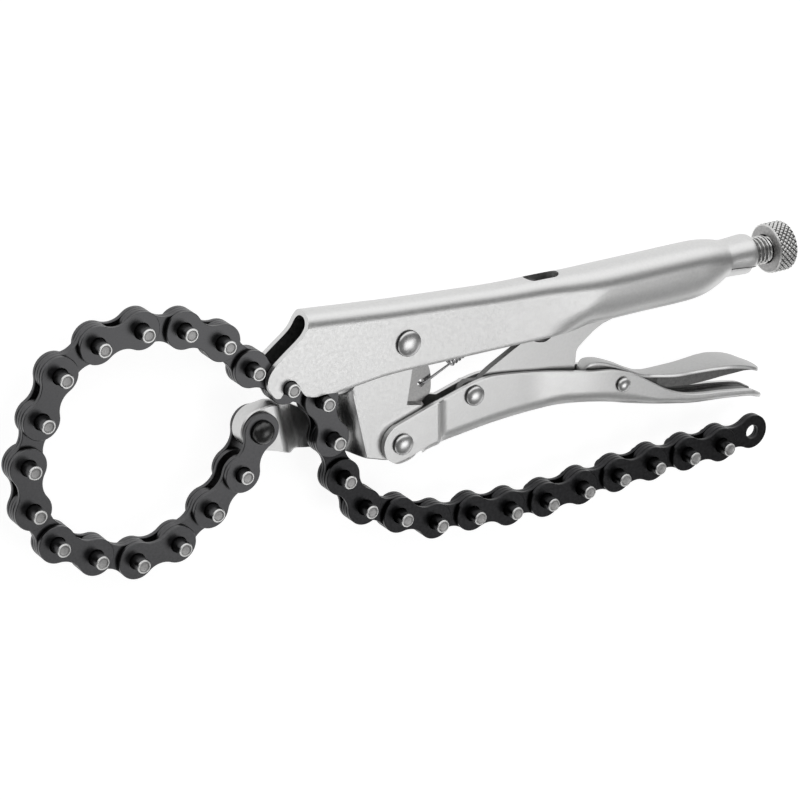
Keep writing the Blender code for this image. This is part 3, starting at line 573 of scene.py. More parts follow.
# How far the flange's edge is cut inwards and how far down
flange_bevel = (0.2, 0.15)
nose_edge = [
    (-38.6, 22.0), (-38.6, 18.0), (-38.7, 15.7), (-40.2, 12.2),
    (-42.7, 9.5), (-48.7, 5.0), (-53.2, 1.2), (-55.0, -2.3),
    (-54.7, -5.3), (-52.4, -8.8), (-50.4, -9.4),
]
belly = [
    (-42.5, -8.0), (-41.2, -9.9), (-39.7, -11.1), (-36.2, -11.85),
    (-33.0, -11.7), (-29.5, -11.9), (-26.4, -12.7),
]
neck_seam = [(138.4, 0.05), (151.0, -1.05), (151.0, -1.40), (138.4, -0.30)]
neck_lip = [(147.8, -1.40), (151.0, -1.40), (151.0, -9.0), (147.8, -9.0)]
seam_floor = 5.9 * mm
cut_front, cut_reach = -72.0, 34.0
hook_radius, hook_arc = 2.9, (205, -15, 24)
spring_slot = ((54.5, 0.0), (62.5, 0.0))
slot_radius, slot_steps = 3.0, 12
slot_low, slot_high = -22.0 * mm, -2.0 * mm
handle_round = 0.42 * mm
tongue_half = 2.2 * mm
tongue_back = (1.2 * mm, 0.9 * mm)
spring_tongue = [(50.6, 8.9), (53.2, 9.4), (55.6, 7.8), (57.6, 5.0),
                 (57.9, 2.2)]


def shell_path(row, grow):
    """Half of the handle's section, from a flange up to the crown."""
    _, top, bottom, half, curl, slot = row
    corner = max(fold_share * half - grow, least_corner)
    top, bottom, half = top - grow, bottom + grow, half - grow
    bend = max(curl, least_curl) * math.pi / 2
    radius = (half - slot / 2) * math.pi / 2 / bend
    level = top - corner
    drop = radius * math.sin(bend)
    rise = drop + (level - bottom - drop) * curl ** 2 * belly_share
    side = bottom + rise
    path = []
    for step in range(flange_steps, -1, -1):
        angle = bend * step / flange_steps
        path.append((half - radius * (1 - math.cos(angle)),
                     side - rise * math.sin(angle) / math.sin(bend)))
    if not grow:
        open_share = 1 - min(curl, 1.0)
        inward, down = flange_bevel
        path[0] = (path[0][0] - inward * open_share, path[0][1])
        path[1] = (path[1][0], path[1][1] - down * open_share)
    for share in quarters:
        path.append((half, side + (level - side) * share))
    for step in range(crown_steps + 1):
        angle = math.pi / 2 * step / crown_steps
        path.append((half - corner + corner * math.cos(angle),
                     top - corner + corner * math.sin(angle)))
    path.append((0.0, top))
    return path


def upper_shell():
    """The handle's sheet as one closed loft, with painted shade on its inner faces."""
    bm = bmesh.new()
    rings = []
    for row in spline(upper_rows, fine_steps):
        thin = sheet / mm
        if row[0] > shoulder_start:
            done = smoothstep((row[0] - shoulder_start)
                              / (neck_start - shoulder_start))
            thin += (row[3] - neck_bore - thin) * done
        section = []
        for grow in (0.0, thin):
            half = shell_path(row, grow)
            section.append(half + [(-z, y) for z, y in reversed(half[:-1])])
        rings.append([bm.verts.new((row[0] * mm, y * mm, z * mm))
                      for z, y in section[0] + section[1][::-1]])
    count = len(rings[0])
    # The inner faces take the dark material as painted shade
    sides = [0] * (count // 2) + [1] * (count // 2 - 1) + [0]
    for first, second in zip(rings, rings[1:]):
        wall(bm, first, second, sides)
    for verts in (rings[0], rings[-1]):
        for index in range(count // 2 - 1):
            bm.faces.new((verts[index], verts[index + 1],
                          verts[count - 2 - index],
                          verts[count - 1 - index]))
    return to_mesh(bm, "upper_handle_shape", [satin, painted_shade])


def build_upper_handle():
    """The pressed upper handle with its nose, its slot and its tongue."""
    item = show("upper_handle_piece", upper_shell(), "upper_handle",
                ["upper_handle"], None)
    outline = [(cut_front, cut_reach), (nose_edge[0][0], cut_reach)]
    outline += spline(nose_edge, fine_steps)
    outline += arc(hook_centre, hook_radius, *hook_arc)
    outline += spline(belly, fine_steps)
    outline += [(belly[-1][0], -cut_reach), (cut_front, -cut_reach)]
    nose = cut_with(item, prism(in_mm(outline), -cutter_half, cutter_half),
                    "nose_cutter")
    slot = in_mm(arc(spring_slot[0], slot_radius, 90, 270, slot_steps)
                 + arc(spring_slot[1], slot_radius, -90, 90, slot_steps))
    bm = prism(slot, slot_low, slot_high)
    bmesh.ops.rotate(bm, verts=bm.verts, cent=(0.0, 0.0, 0.0),
                     matrix=Matrix.Rotation(math.pi / 2, 3, "X"))
    gap = cut_with(item, bm, "slot_cutter")
    # The seam's cut faces take the dark material as painted shade
    seam = cut_with(item, prism(in_mm(neck_seam), seam_floor, cutter_half),
                    "seam_cutter", 1)
    lip = cut_with(item, prism(in_mm(neck_lip), -cutter_half, cutter_half),
                   "lip_cutter")
    soften(item, handle_round, angle=40.0, segments=3)
    settle(item, nose, gap, seam, lip)
    front = in_mm(spline(spring_tongue, plain_steps))
    back = [(x - tongue_back[0], y - tongue_back[1])
            for x, y in reversed(front)]
    bm = prism(front + back, -tongue_half, tongue_half)
    # The tongue is all dark, painted shade under the handle
    show("spring_tongue", to_mesh(bm, "tongue_shape", [painted_shade]),
         "upper_handle", (), None)


# Jaw

# The arm steps back between these two slopes, each with its start and length
crank_slant, crank_level = 0.22, -27.0
crank_left, crank_right = (-48.8, 12.6), (-25.8, 8.2)
crank_cuts = range(-50, -11)
crank_clearance = 0.4 * mm
arm_half = 1.3 * mm
jaw_edge = 0.45 * mm
lug_recess = [(1.0, -24.1), (17.7, -27.7), (17.7, -10.5), (3.3, -10.5)]
recess_floor, recess_taper = 1.1 * mm, 0.9 * mm
lug_hole_radius, lug_hole_steps = 1.5, 20
sheet_round = 0.3 * mm
arm_end, arm_end_radius, arm_end_arc = (-56.8, -20.1), 7.6, (100, 262, 24)
arm_under = [
    (-54.5, -28.4), (-49.7, -29.9), (-44.7, -32.2), (-39.7, -34.3),
    (-35.7, -36.0), (-32.7, -36.8), (-22.2, -38.6), (-13.2, -41.2),
    (-8.6, -42.7), (-5.5, -43.4),
]
lower_round, lower_arc = 6.9, (-95, 25, 16)
lug_edge = [
    (5.2, -29.7), (7.2, -26.7), (9.5, -23.9), (11.9, -22.3),
    (12.2, -17.1), (11.7, -13.7), (10.3, -10.4), (8.6, -7.4),
]
pivot_round, pivot_arc = 8.5, (-10, 150, 20)
arm_top = [
    (-9.5, 3.0), (-14.4, -3.7), (-19.5, -11.1), (-24.1, -17.4),
    (-28.1, -21.3), (-33.5, -21.7), (-39.2, -18.6), (-43.7, -15.6),
    (-48.9, -13.2), (-52.2, -12.1), (-55.4, -12.4),
]


def jaw_outline():
    """The jaw from the arm's end, along its lower edge and back."""
    points = arc(arm_end, arm_end_radius, *arm_end_arc)
    points += spline(arm_under, plain_steps)
    points += arc(lower_pivot, lower_round, *lower_arc)
    points += spline(lug_edge, plain_steps)
    points += arc((0.0, 0.0), pivot_round, *pivot_arc)
    points += spline(arm_top, plain_steps)
    return in_mm(points)


def crank(x, y):
    """How far the arm has stepped back at a place, from 0 to 1."""
    along = x / mm + crank_slant * (y / mm - crank_level)
    left = smoothstep((along - crank_left[0]) / crank_left[1])
    right = 1 - smoothstep((along - crank_right[0]) / crank_right[1])
    return min(left, right)


def build_jaw():
    """The jaw, stepped back where its arm passes the chain."""
    bm = bmesh.new()
    plate(bm, jaw_outline(), [], -jaw_half, jaw_half, jaw_edge)
    for along in crank_cuts:
        whole = bm.verts[:] + bm.edges[:] + bm.faces[:]
        start = Vector((along * mm, crank_level * mm, 0.0))
        bmesh.ops.bisect_plane(bm, geom=whole, plane_co=start,
                               plane_no=Vector((1.0, crank_slant, 0.0)))
    middle = -(pin_end + crank_clearance + arm_half)
    for vert in bm.verts:
        done = crank(vert.co.x, vert.co.y)
        thick = jaw_half + (arm_half - jaw_half) * done
        vert.co.z = middle * done + vert.co.z / jaw_half * thick
    mesh = to_mesh(bm, "jaw_shape", [satin, pin_end_and_shade], angle=30.0)
    item = show("jaw_piece", mesh, "jaw", ["jaw"], None)
    recess = in_mm(lug_recess)
    hole = in_mm(arc(lug_hole, lug_hole_radius, 0, 360,
                     lug_hole_steps)[:-1])
    near = prism(recess, recess_floor, jaw_half, recess_taper)
    far = prism(recess, -jaw_half, -recess_floor)
    bore = prism(hole, -cutter_half, cutter_half)
    # The cut faces of the recess and the hole take the pin steel, painted shade in the recess
    cutters = [cut_with(item, bm, "jaw_cutter", 1)
               for bm in (near, far, bore)]
    soften(item, sheet_round, angle=50.0)
    settle(item, *cutters)


# Lower handle

# Along, top of the walls, bottom of the web and half width
lower_rows = [
    (-12.1, -32.4, -47.5, 5.8), (4.0, -27.4, -44.4, 5.8),
    (8.4, -26.0, -42.5, 5.8), (12.6, -24.75, -41.7, 5.8),
    (16.3, -25.2, -42.0, 3.85), (27.4, -22.1, -40.7, 3.85),
    (35.4, -21.0, -39.8, 3.85), (45.7, -22.0, -39.1, 3.85),
    (56.0, -23.6, -38.8, 3.9), (65.0, -25.1, -38.8, 4.63),
    (77.0, -27.5, -40.2, 5.5), (86.9, -29.0, -42.2, 5.8),
    (94.3, -31.6, -44.3, 5.8), (99.0, -34.0, -45.5, 5.8),
    (105.9, -38.2, -47.2, 5.8), (111.1, -41.4, -48.3, 5.8),
    (117.5, -44.5, -49.6, 5.8), (124.9, -46.5, -50.8, 5.8),
    (138.9, -48.4, -52.1, 5.8), (150.1, -50.4, -53.5, 5.7),
    (154.6, -52.4, -54.9, 5.1), (156.5, -53.6, -55.7, 4.2),
]
ear_rows = 4
thickest_share = 0.62
corner_radius, corner_of_depth, corner_of_width = 3.4, 0.68, 0.7
# The corners grow to their full size over this stretch behind the ears
corner_start, corner_length, first_corner = 12.6, 5.0, 0.75
corner_loss, least_bend, widest_corner = 0.8, 0.35, 0.95
# A deep channel has tall corners, up to this many times their width
tall_depth, tall_limit = 8.0, 1.9
corner_steps = 8
lip_drop, lip_round = 0.45, 0.35
ear_radius, ear_arc, ear_front = 7.4, (107, 318, 40), -22.0
ear_dip = [(6.1, -41.1), (7.0, -41.3)]
web_front, below = 7.4, -60.0


def lower_ring(bm, row):
    """One ring of the channel, with a rounded lip on each wall."""
    x, high, low, half = row
    depth = high - low
    thin = min(sheet / mm, depth * thickest_share)
    section = []
    for grow in (0.0, thin):
        h, b = half - grow, low + grow
        round_off = smoothstep((x - corner_start) / corner_length)
        c = min(corner_radius, depth * corner_of_depth,
                half * corner_of_width)
        c *= first_corner + (1 - first_corner) * round_off
        c = min(max(c - grow * corner_loss, least_bend), h * widest_corner)
        stretch = min(max(depth / tall_depth, 1.0), tall_limit)
        tall = c * (1 + (stretch - 1) * round_off)
        path = [(h, high - lip_drop * (grow == 0))]
        path += [(h - c + c * math.cos(a), b + tall - tall * math.sin(a))
                 for a in [math.pi / 2 * step / corner_steps
                           for step in range(corner_steps + 1)]]
        path += [((h - c) / 2, b), (0.0, b)]
        section.append(path + [(-z, y) for z, y in reversed(path[:-1])])
    lip = half - lip_round
    inner = half - thin + lip_round
    loop = ([(lip, high)] + section[0] + [(-lip, high), (-inner, high)]
            + section[1][::-1] + [(inner, high)])
    return [bm.verts.new((x * mm, y * mm, z * mm)) for z, y in loop]


def build_lower_handle():
    """The lower handle, a channel whose walls run out towards the tail."""
    rows = spline(lower_rows[:ear_rows], plain_steps)
    before, after = lower_rows[ear_rows - 1:ear_rows + 1]
    for share in quarters:
        row = [a + (b - a) * share for a, b in zip(before, after)]
        row[3] = before[3] + (after[3] - before[3]) * smoothstep(share)
        rows.append(tuple(row))
    rows += spline(lower_rows[ear_rows:], fine_steps)
    bm = bmesh.new()
    rings = [lower_ring(bm, row) for row in rows]
    outer = (len(rings[0]) - 4) // 2 + 1
    for first, second in zip(rings, rings[1:]):
        # The inner faces take the dark material as painted shade
        wall(bm, first, second, [0] * (outer + 3) + [1] * (outer - 2) + [0])
    for verts in (rings[0], rings[-1]):
        bm.faces.new(verts)
    mesh = to_mesh(bm, "lower_handle_shape", [satin, painted_shade], angle=34.0)
    item = show("lower_handle_piece", mesh, "lower_handle",
                ["lower_handle"], None)
    lobe = arc(lower_pivot, ear_radius, *ear_arc)
    outline = ([(lobe[0][0], 0.0)] + lobe + ear_dip
               + [(ear_dip[-1][0], below), (ear_front, below),
                  (ear_front, 0.0)])
    gap = jaw_half + fit_gap
    between = [(ear_front, below), (web_front, below), (web_front, 0.0),
               (ear_front, 0.0)]
    ears = cut_with(item, prism(in_mm(outline), -cutter_half, cutter_half),
                    "ear_cutter")
    web = cut_with(item, prism(in_mm(between), -gap, gap), "web_cutter")
    soften(item, sheet_round, angle=45.0)
    settle(item, ears, web)


# Toggle link

toggle_pivot, toggle_end = (28.5, -26.3), (91.8, -4.1)
toggle_half, toggle_edge = 1.3 * mm, 0.28 * mm
flat_normal = 0.9
toggle_front_radius, toggle_front_arc = 5.2, (110, 280, 16)
toggle_end_radius, toggle_end_arc = 6.2, (-85, 100, 16)
toggle_under = [
    (36.1, -31.3), (53.8, -30.3), (70.3, -28.5), (73.1, -26.7),
    (73.6, -23.1), (73.8, -20.5), (75.7, -18.1), (81.4, -13.9),
    (85.5, -11.9),
]
toggle_top = [
    (82.3, 0.5), (72.8, -3.7), (64.6, -10.7), (60.8, -13.2),
    (57.6, -13.1), (54.5, -11.9), (51.3, -11.4), (47.5, -13.1),
    (42.1, -15.9), (36.1, -19.1), (32.3, -21.9),
]


def build_toggle_link():
    """The flat link between the lower handle and the screw's tip."""
    points = arc(toggle_pivot, toggle_front_radius, *toggle_front_arc)
    points += spline(toggle_under, plain_steps)
    points += arc(toggle_end, toggle_end_radius, *toggle_end_arc)
    points += spline(toggle_top, plain_steps)
    bm = bmesh.new()
    plate(bm, in_mm(points), [], -toggle_half, toggle_half, toggle_edge)
    bm.normal_update()
    # The edges take the dark material, painted shade where the link lies between the handles
    for face in bm.faces:
        face.material_index = int(abs(face.normal.z) < flat_normal)
    mesh = to_mesh(bm, "toggle_link_shape", [satin, painted_shade])
    show("toggle_link_piece", mesh, "toggle_link", ["toggle_link"], None)


# Release lever

# Along, top, half width of the tab and depth of the flanges
lever_rows = [
    (75.6, -30.0, 2.35, 3.6), (77.2, -26.4, 2.6, 7.0),
    (79.7, -25.25, 3.1, 7.6), (84.7, -26.1, 3.2, 9.0),
    (91.4, -29.0, 3.2, 10.0), (96.5, -31.8, 3.2, 8.5),
    (101.4, -34.2, 3.2, 7.0), (104.3, -35.0, 3.2, 6.5),
    (107.3, -35.5, 3.4, 6.2), (115.7, -36.4, 5.2, 6.4),
    (122.4, -36.6, 5.7, 7.0), (128.6, -36.6, 6.5, 7.1),
    (132.5, -36.6, 7.1, 7.1), (136.1, -36.8, 7.6, 6.8),
    (139.3, -37.1, 7.9, 6.4), (145.1, -38.3, 8.0, 5.2),
    (149.0, -39.6, 7.95, 3.9), (151.4, -40.8, 7.4, 3.0),
    (153.0, -41.6, 6.2, 2.5), (154.0, -42.0, 4.6, 2.2),
    (154.4, -42.2, 2.6, 2.2),
]
# Rim 0, painted shade 1 and lighter painted shade 2 for the strips round the lever's section
lever_strips = [2, 1, 1, 0, 0, 2, 2, 2, 2, 2, 2, 0, 0, 1, 1, 2,
                2, 2, 1, 1, 1, 1, 2, 2]
# The flanges' outer sides are shaded behind this place
side_strips, shaded_after = (0, 15), 98.0
body_half, tab_sheet, flange_sheet = 3.0, 1.3, 1.4
least_flange, least_core = 1.8, 0.35
crown_share, crown_edge = 0.12, 0.55
edge_round, least_tab, root_round, root_drop = 0.2, 0.15, 0.3, 0.35
# Places under the tab, and on top as shares of its half width and its crown
under_share, under_drop, under_edge = 0.4, 0.02, 0.6
tab_top = ((0.75, 0.25), (0.4, 0.05), (0.0, 0.0))


def build_release_lever():
    """The release lever with its wide thumb tab."""
    bm = bmesh.new()
    rings = []
    for x, top, tab, flange in spline(lever_rows, fine_steps):
        body = min(body_half, tab - edge_round)
        core = max(body - flange_sheet, body * least_core)
        tab = max(tab, body + least_tab)
        under = top - tab_sheet
        low = top - max(flange, least_flange)
        crown = crown_share * tab
        half = [(body, low + edge_round), (body, under - root_round),
                (body + (tab - body) * under_share, under - under_drop),
                (tab - least_tab, under - crown * under_edge),
                (tab, (top + under) / 2 - crown * crown_edge),
                (tab - edge_round, top - crown * crown_edge)]
        half += [(tab * across, top - crown * drop)
                 for across, drop in tab_top]
        whole = half + [(-z, y) for z, y in reversed(half[:-1])]
        root = under - root_drop
        inner = [(-body + edge_round, low), (-core, low), (-core, root),
                 (0.0, under - edge_round), (core, root), (core, low),
                 (body - edge_round, low)]
        rings.append([bm.verts.new((x * mm, y * mm, z * mm))
                      for z, y in whole + inner])
    for first, second in zip(rings, rings[1:]):
        strips = list(lever_strips)
        if first[0].co.x > shaded_after * mm:
            for strip in side_strips:
                strips[strip] = 1
        wall(bm, first, second, strips)
    for verts in (rings[0], rings[-1]):
        bm.faces.new(verts)
    # Satin rims, with two tones of painted shade on the other strips
    mesh = to_mesh(bm, "release_lever_shape", [satin, painted_shade, shaded_nickel],
                   angle=40.0)
    show("release_lever_piece", mesh, "release_lever", ["release_lever"],
         None)


# Turned pieces

head_height, anchor_head_height = 1.9 * mm, 3.0 * mm
head_rim = 0.5 * mm
shank_share = 0.6
dome_step = 9
rivet_segments = 40


def build_rivets():
    """Domed rivets at the pivots."""
    for name, body, material, slot in (
            ("jaw_pivot_rivet", "upper_handle", bright, "bright_rivet"),
            ("lower_pivot_rivet", "jaw", bright, "bright_rivet"),
            ("link_pivot_rivet", "lower_handle", bright, "bright_rivet"),
            ("release_pivot_rivet", "lower_handle", bright, "bright_rivet"),
            ("anchor_rivet", "jaw", dark, "bright_rivet")):
        low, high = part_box(name)
        head = (high.y - low.y) / 2
        top = high.z - root_z
        seat = top - head_height
        if name == "anchor_rivet":
            seat = top - anchor_head_height
        rim = seat + head_rim
        dome = [(head * math.cos(math.radians(angle)),
                 rim + (top - rim) * math.sin(math.radians(angle)))
                for angle in range(0, 91, dome_step)]
        dome[-1] = (0.0, dome[-1][1])
        bm = bmesh.new()
        shank = head * shank_share
        half = [(shank, 0.0), (shank, seat), (head, seat)] + dome
        for side in (-1, 1):
            # The side of the head takes the dark groove material, a painted contact shadow
            turned(bm, [(r, z * side) for r, z in half], rivet_segments,
                   (0, 0, 1, 0))
        centre = Vector(((low.x + high.x) / 2, (low.y + high.y) / 2, root_z))
        data = to_mesh(bm, name + "_shape", [material, painted_groove_shade], angle=50.0)
        show(name + "_piece", data, body, [name],
             Matrix.Translation(centre))


def circle_points(count):
    """Cosines and sines all round a circle."""
    return [(math.cos(2 * math.pi * index / count),
             math.sin(2 * math.pi * index / count))
            for index in range(count)]


thread_lead, thread_depth, thread_end = 1.75 * mm, 0.75 * mm, 0.8 * mm
thread_around, thread_per_turn = 48, 14
# Half a crest and the slope beside it, as shares of half a turn
crest_share, slope_share = 0.06, 0.5
valley_share = 0.55
# The end within the knob, where the screw is thinner and has no painted shade in its valleys
seat_length, seat_ease, seat_slack = 5.5 * mm, 0.5 * mm, 0.5 * mm


def build_screw():
    """The threaded screw, with painted shade in the valleys between its crests."""
    low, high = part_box("adjusting_screw")
    radius = (high.y - low.y) / 2
    axis = Vector((low.x, (low.y + high.y) / 2, root_z))
    length = high.x - low.x
    circle = circle_points(thread_around)
    bm = bmesh.new()
    rings = []
    steps = int(length / thread_lead * thread_per_turn)
    for step in range(steps + 1):
        x = length * step / steps
        into = (x - length + seat_length) / seat_ease
        bare = radius - smoothstep(into) * seat_slack
        bare -= max(0.0, thread_end - min(x, length - x)) / 2
        loop = []
        for index, (c, s) in enumerate(circle):
            share = (x / thread_lead - index / thread_around) % 1.0
            slope = (abs(share * 2 - 1) - crest_share) / slope_share
            r = bare - thread_depth * min(max(slope, 0.0), 1.0)
            loop.append(bm.verts.new((x, r * c, r * s)))
        rings.append(loop)
    for first, second in zip(rings, rings[1:]):
        wall(bm, first, second)
    for verts in (rings[0], rings[-1]):
        bm.faces.new(verts)
    # Faces in the valleys take the dark material as painted shade
    valley = radius - thread_depth * valley_share
    for face in bm.faces:
        place = face.calc_center_median()
        shows = place.x < length - seat_length
        if shows and math.hypot(place.y, place.z) < valley:
            face.material_index = 1
    mesh = to_mesh(bm, "adjusting_screw_shape", [thread, painted_shade], angle=60.0)
    show("adjusting_screw_piece", mesh, "screw", ["adjusting_screw"],
         Matrix.Translation(axis))


knurl_around, knurl_rows = 308, 48
knurl_diamonds, knurl_lead, knurl_depth = 28, 2.0, 0.6
knurl_front, knurl_back = 0.6, 0.5
# The knurl fades in at the front and the rim falls off at the back
fade_share, fall_start, rim_fall = 0.05, 0.88, 0.35
groove_depth = 0.34
knurl_power = 2.6
socket_depth, socket_play = 5.1, 0.2
# How far from the end and inside the rim the rings of each face lie
front_rings = ((0.0, 1.5), (0.35, 0.75))
back_rings = ((0.15, 1.0), (0.0, 1.9))
front_depth = 0.3


def build_knob():
    """The knob, knurled in diamonds round its rim."""
    low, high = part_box("adjusting_knob")
    width = (high.x - low.x) / mm
    axis = Vector((low.x, (low.y + high.y) / 2, root_z))
    bore = (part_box("adjusting_screw")[1].y
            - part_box("adjusting_screw")[0].y) / 2 / mm + socket_play
    rim = knob_radius / mm
    circle = circle_points(knurl_around)
    bm = bmesh.new()

    def circle_ring(x, r):
        return [bm.verts.new((x * mm, r * mm * c, r * mm * s))
                for c, s in circle]

    rings = [circle_ring(socket_depth, bore), circle_ring(0.0, bore)]
    rings += [circle_ring(x, rim - inward) for x, inward in front_rings]
    start, end = knurl_front, width - knurl_back
    for row in range(knurl_rows + 1):
        share = row / knurl_rows
        x = start + (end - start) * share
        rise = min(share / fade_share, 1.0)
        fall = max(0.0, (share - fall_start) / (1 - fall_start))
        base = rim - rim_fall * (fall ** 2 + (1 - rise) ** 2)
        lean = (x - start) / knurl_lead
        loop = []
        for index, (c, s) in enumerate(circle):
            turn = index / knurl_around * knurl_diamonds
            a = abs(((turn + lean) % 1.0) * 2 - 1)
            b = abs(((turn - lean) % 1.0) * 2 - 1)
            cut = (1 - min(a, b)) ** knurl_power
            r = base - knurl_depth * cut * rise
            loop.append(bm.verts.new((x * mm, r * mm * c, r * mm * s)))
        rings.append(loop)
    rings += [circle_ring(width - x, rim - inward)
              for x, inward in back_rings]
    for first, second in zip(rings, rings[1:]):
        wall(bm, first, second)
    for verts in (rings[0], rings[-1]):
        bm.faces.new(verts)
    # The knurl's valleys take painted shade, and the front face the darker pin steel as painted shade
    for face in bm.faces:
        place = face.calc_center_median()
        out = math.hypot(place.y, place.z) / mm
        if start < place.x / mm < end and out < rim - groove_depth:
            face.material_index = 1
        elif place.x / mm < front_depth:
            face.material_index = 2
    mesh = to_mesh(bm, "adjusting_knob_shape", [knurl, painted_groove_shade, pin_end_and_shade],
                   angle=50.0)
    show("adjusting_knob_piece", mesh, "knob", ["adjusting_knob"],
         Matrix.Translation(axis))


# Spring

spring_end = (57.2, 4.2)
spring_hook, spring_shank, spring_radius = 7.4, 5.0, 2.0
coil_lead, coil_turns, coil_steps = 1.5, 16, 20
wire_radius = 0.5 * mm
# The near hook along and up, in shares of its length and of the radius
near_hook = [(0.36, -1.0), (0.14, -0.97), (0.0, -0.62), (0.0, 0.62),
             (0.14, 0.97), (0.5, 1.0)]
# The wire's way back to the axis, from the coil's end, and then the far
# hook, from the far pin
coil_tail = [(0.8, 0.3, 0.9), (2.0, 0.2, 0.5), (4.0, 0.0, 0.0)]
far_hook = [(-1.3, 0.0), (1.0, 0.0), (2.9, 0.7), (3.5, 1.7), (2.8, 2.7),
            (1.5, 3.0)]


def build_spring():
    """The tension spring, with a straight shank and a hook at each end."""
    start = Vector((*lug_hole, 0.0)) * mm
    end = Vector((*spring_end, 0.0)) * mm
    along = end - start
    length = along.length / mm
    hook, radius = spring_hook, spring_radius
    points = [(hook * along_share, 0.0, radius * up_share)
              for along_share, up_share in spline(near_hook, plain_steps)]
    for step in range(coil_turns * coil_steps + 1):
        angle = 2 * math.pi * step / coil_steps
        points.append((hook + spring_shank + coil_lead * step / coil_steps,
                       radius * math.sin(angle), radius * math.cos(angle)))
    tip = hook + spring_shank + coil_lead * coil_turns
    tail = [(tip + x, y, radius * up) for x, y, up in coil_tail]
    tail += [(length + x, y, 0.0) for x, y in far_hook]
    points += spline(tail, plain_steps)
    curve = bpy.data.curves.new("spring_shape", "CURVE")
    curve.dimensions = "3D"
    curve.bevel_depth = wire_radius
    curve.bevel_resolution = 3
    curve.use_fill_caps = True
    line = curve.splines.new("POLY")
    line.points.add(len(points) - 1)
    for place, point in zip(line.points, points):
        place.co = (*(Vector(point) * mm), 1.0)
    line.use_smooth = True
    curve.materials.append(wire)
    turn = Matrix.Rotation(math.atan2(along.y, along.x), 4, "Z")
    show("jaw_spring_piece", curve, "spring", ["jaw_spring"],
         Matrix.Translation(A + start) @ turn)


build_upper_handle()
build_jaw()
build_lower_handle()
build_toggle_link()
build_release_lever()
build_rivets()
build_screw()
build_knob()
build_spring()


# Stage

floor_size, floor_tone, floor_glow = 6.0, 0.3, 0.89
world_strength, world_base = 1.35, 0.15
# Which way is up for the bright part of the walls, and where it ends
wall_up = (0.0, -0.4, 1.0)
wall_stops = [(0.0, 1.0), (0.48, 1.0), (0.66, 0.0)]
long_side_stops = [(0.30, 0.0), (0.55, 1.0)]
key_place = Vector((0.28, -0.228, 0.60))
key_width, key_depth, key_power = 0.40, 0.28, 0.75
# The camera fitted to the photo; its place is from the jaw pivot, in metres
lens, sensor_width, view_limit = 138.0, 36.0, 20.0
camera_place = Vector((-0.5168, 0.3891, 0.8300))
camera_axes = ((0.8487, 0.0, 0.5288), (0.2054, 0.9214, -0.3297),
               (-0.4872, 0.3885, 0.7820))


def seen_ray(nodes, links):
    """One for rays that show the background: camera, glossy or through."""
    path = add(nodes, "ShaderNodeLightPath")
    total = path.outputs["Is Camera Ray"]
    for name in ("Is Glossy Ray", "Is Transmission Ray"):
        node = add(nodes, "ShaderNodeMath", operation="MAXIMUM")
        links.new(total, node.inputs[0])
        links.new(path.outputs[name], node.inputs[1])
        total = node.outputs[0]
    return total


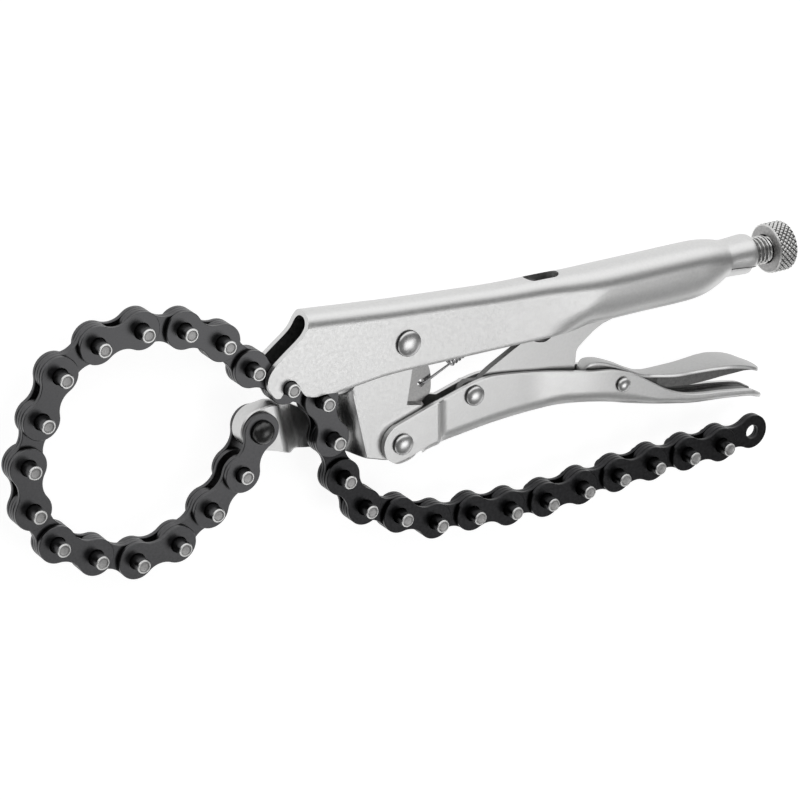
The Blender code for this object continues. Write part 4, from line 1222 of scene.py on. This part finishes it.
def build_floor():
    """A white floor that keeps a soft shadow."""
    bpy.ops.mesh.primitive_plane_add(size=floor_size,
                                     location=(0.0, 0.0, 0.0))
    floor = bpy.context.object
    floor.name = "floor"
    material, nodes, links, shader = new_material("floor")
    nodes.remove(shader)
    diffuse = add(nodes, "ShaderNodeBsdfDiffuse")
    diffuse.inputs["Color"].default_value = (*[floor_tone] * 3, 1.0)
    glow = add(nodes, "ShaderNodeEmission")
    glow.inputs["Color"].default_value = (1.0, 1.0, 1.0, 1.0)
    glow.inputs["Strength"].default_value = floor_glow
    both = add(nodes, "ShaderNodeAddShader")
    mix = add(nodes, "ShaderNodeMixShader")
    links.new(diffuse.outputs[0], both.inputs[0])
    links.new(glow.outputs[0], both.inputs[1])
    links.new(seen_ray(nodes, links), mix.inputs[0])
    links.new(diffuse.outputs[0], mix.inputs[1])
    links.new(both.outputs[0], mix.inputs[2])
    links.new(mix.outputs[0], nodes["Material Output"].inputs["Surface"])
    floor.data.materials.append(material)


def build_world():
    """A dark grey room whose long walls are bright in their lower half."""
    world = bpy.data.worlds.new("studio")
    bpy.context.scene.world = world
    world.use_nodes = True
    nodes, links = world.node_tree.nodes, world.node_tree.links
    shade = nodes["Background"]
    where = add(nodes, "ShaderNodeTexCoord")
    height = add(nodes, "ShaderNodeVectorMath", operation="DOT_PRODUCT")
    height.inputs[1].default_value = wall_up
    links.new(where.outputs["Generated"], height.inputs[0])
    low = ramp(nodes, links, height.outputs["Value"], wall_stops)
    side = add(nodes, "ShaderNodeSeparateXYZ")
    links.new(where.outputs["Generated"], side.inputs[0])
    away = add(nodes, "ShaderNodeMath", operation="ABSOLUTE")
    links.new(side.outputs["Y"], away.inputs[0])
    long_side = ramp(nodes, links, away.outputs[0], long_side_stops)
    both = add(nodes, "ShaderNodeMath", operation="MULTIPLY")
    links.new(low.outputs["Color"], both.inputs[0])
    links.new(long_side.outputs["Color"], both.inputs[1])
    tone = ramp(nodes, links, both.outputs[0],
                [(0.0, world_base), (1.0, 1.0)])
    links.new(tone.outputs["Color"], shade.inputs["Color"])
    shade.inputs["Strength"].default_value = world_strength


def build_lights():
    """One broad lamp that the flat sides mirror to the camera."""
    light = bpy.data.lights.new("key", "AREA")
    light.shape = "RECTANGLE"
    light.size, light.size_y = key_width, key_depth
    light.energy = key_power
    item = bpy.data.objects.new("key", light)
    bpy.context.scene.collection.objects.link(item)
    item.location = A + key_place


def build_camera():
    """The photo's camera, a long lens seen from the tool's left."""
    data = bpy.data.cameras.new("camera")
    camera = bpy.data.objects.new("camera", data)
    bpy.context.scene.collection.objects.link(camera)
    data.lens = lens
    data.sensor_width = sensor_width
    data.clip_end = view_limit
    pose = Matrix(camera_axes).transposed().to_4x4()
    pose.translation = A + camera_place
    camera.matrix_world = pose
    bpy.context.scene.camera = camera


build_floor()
build_world()
build_lights()
build_camera()
scene = bpy.context.scene
scene.view_settings.view_transform = "Standard"
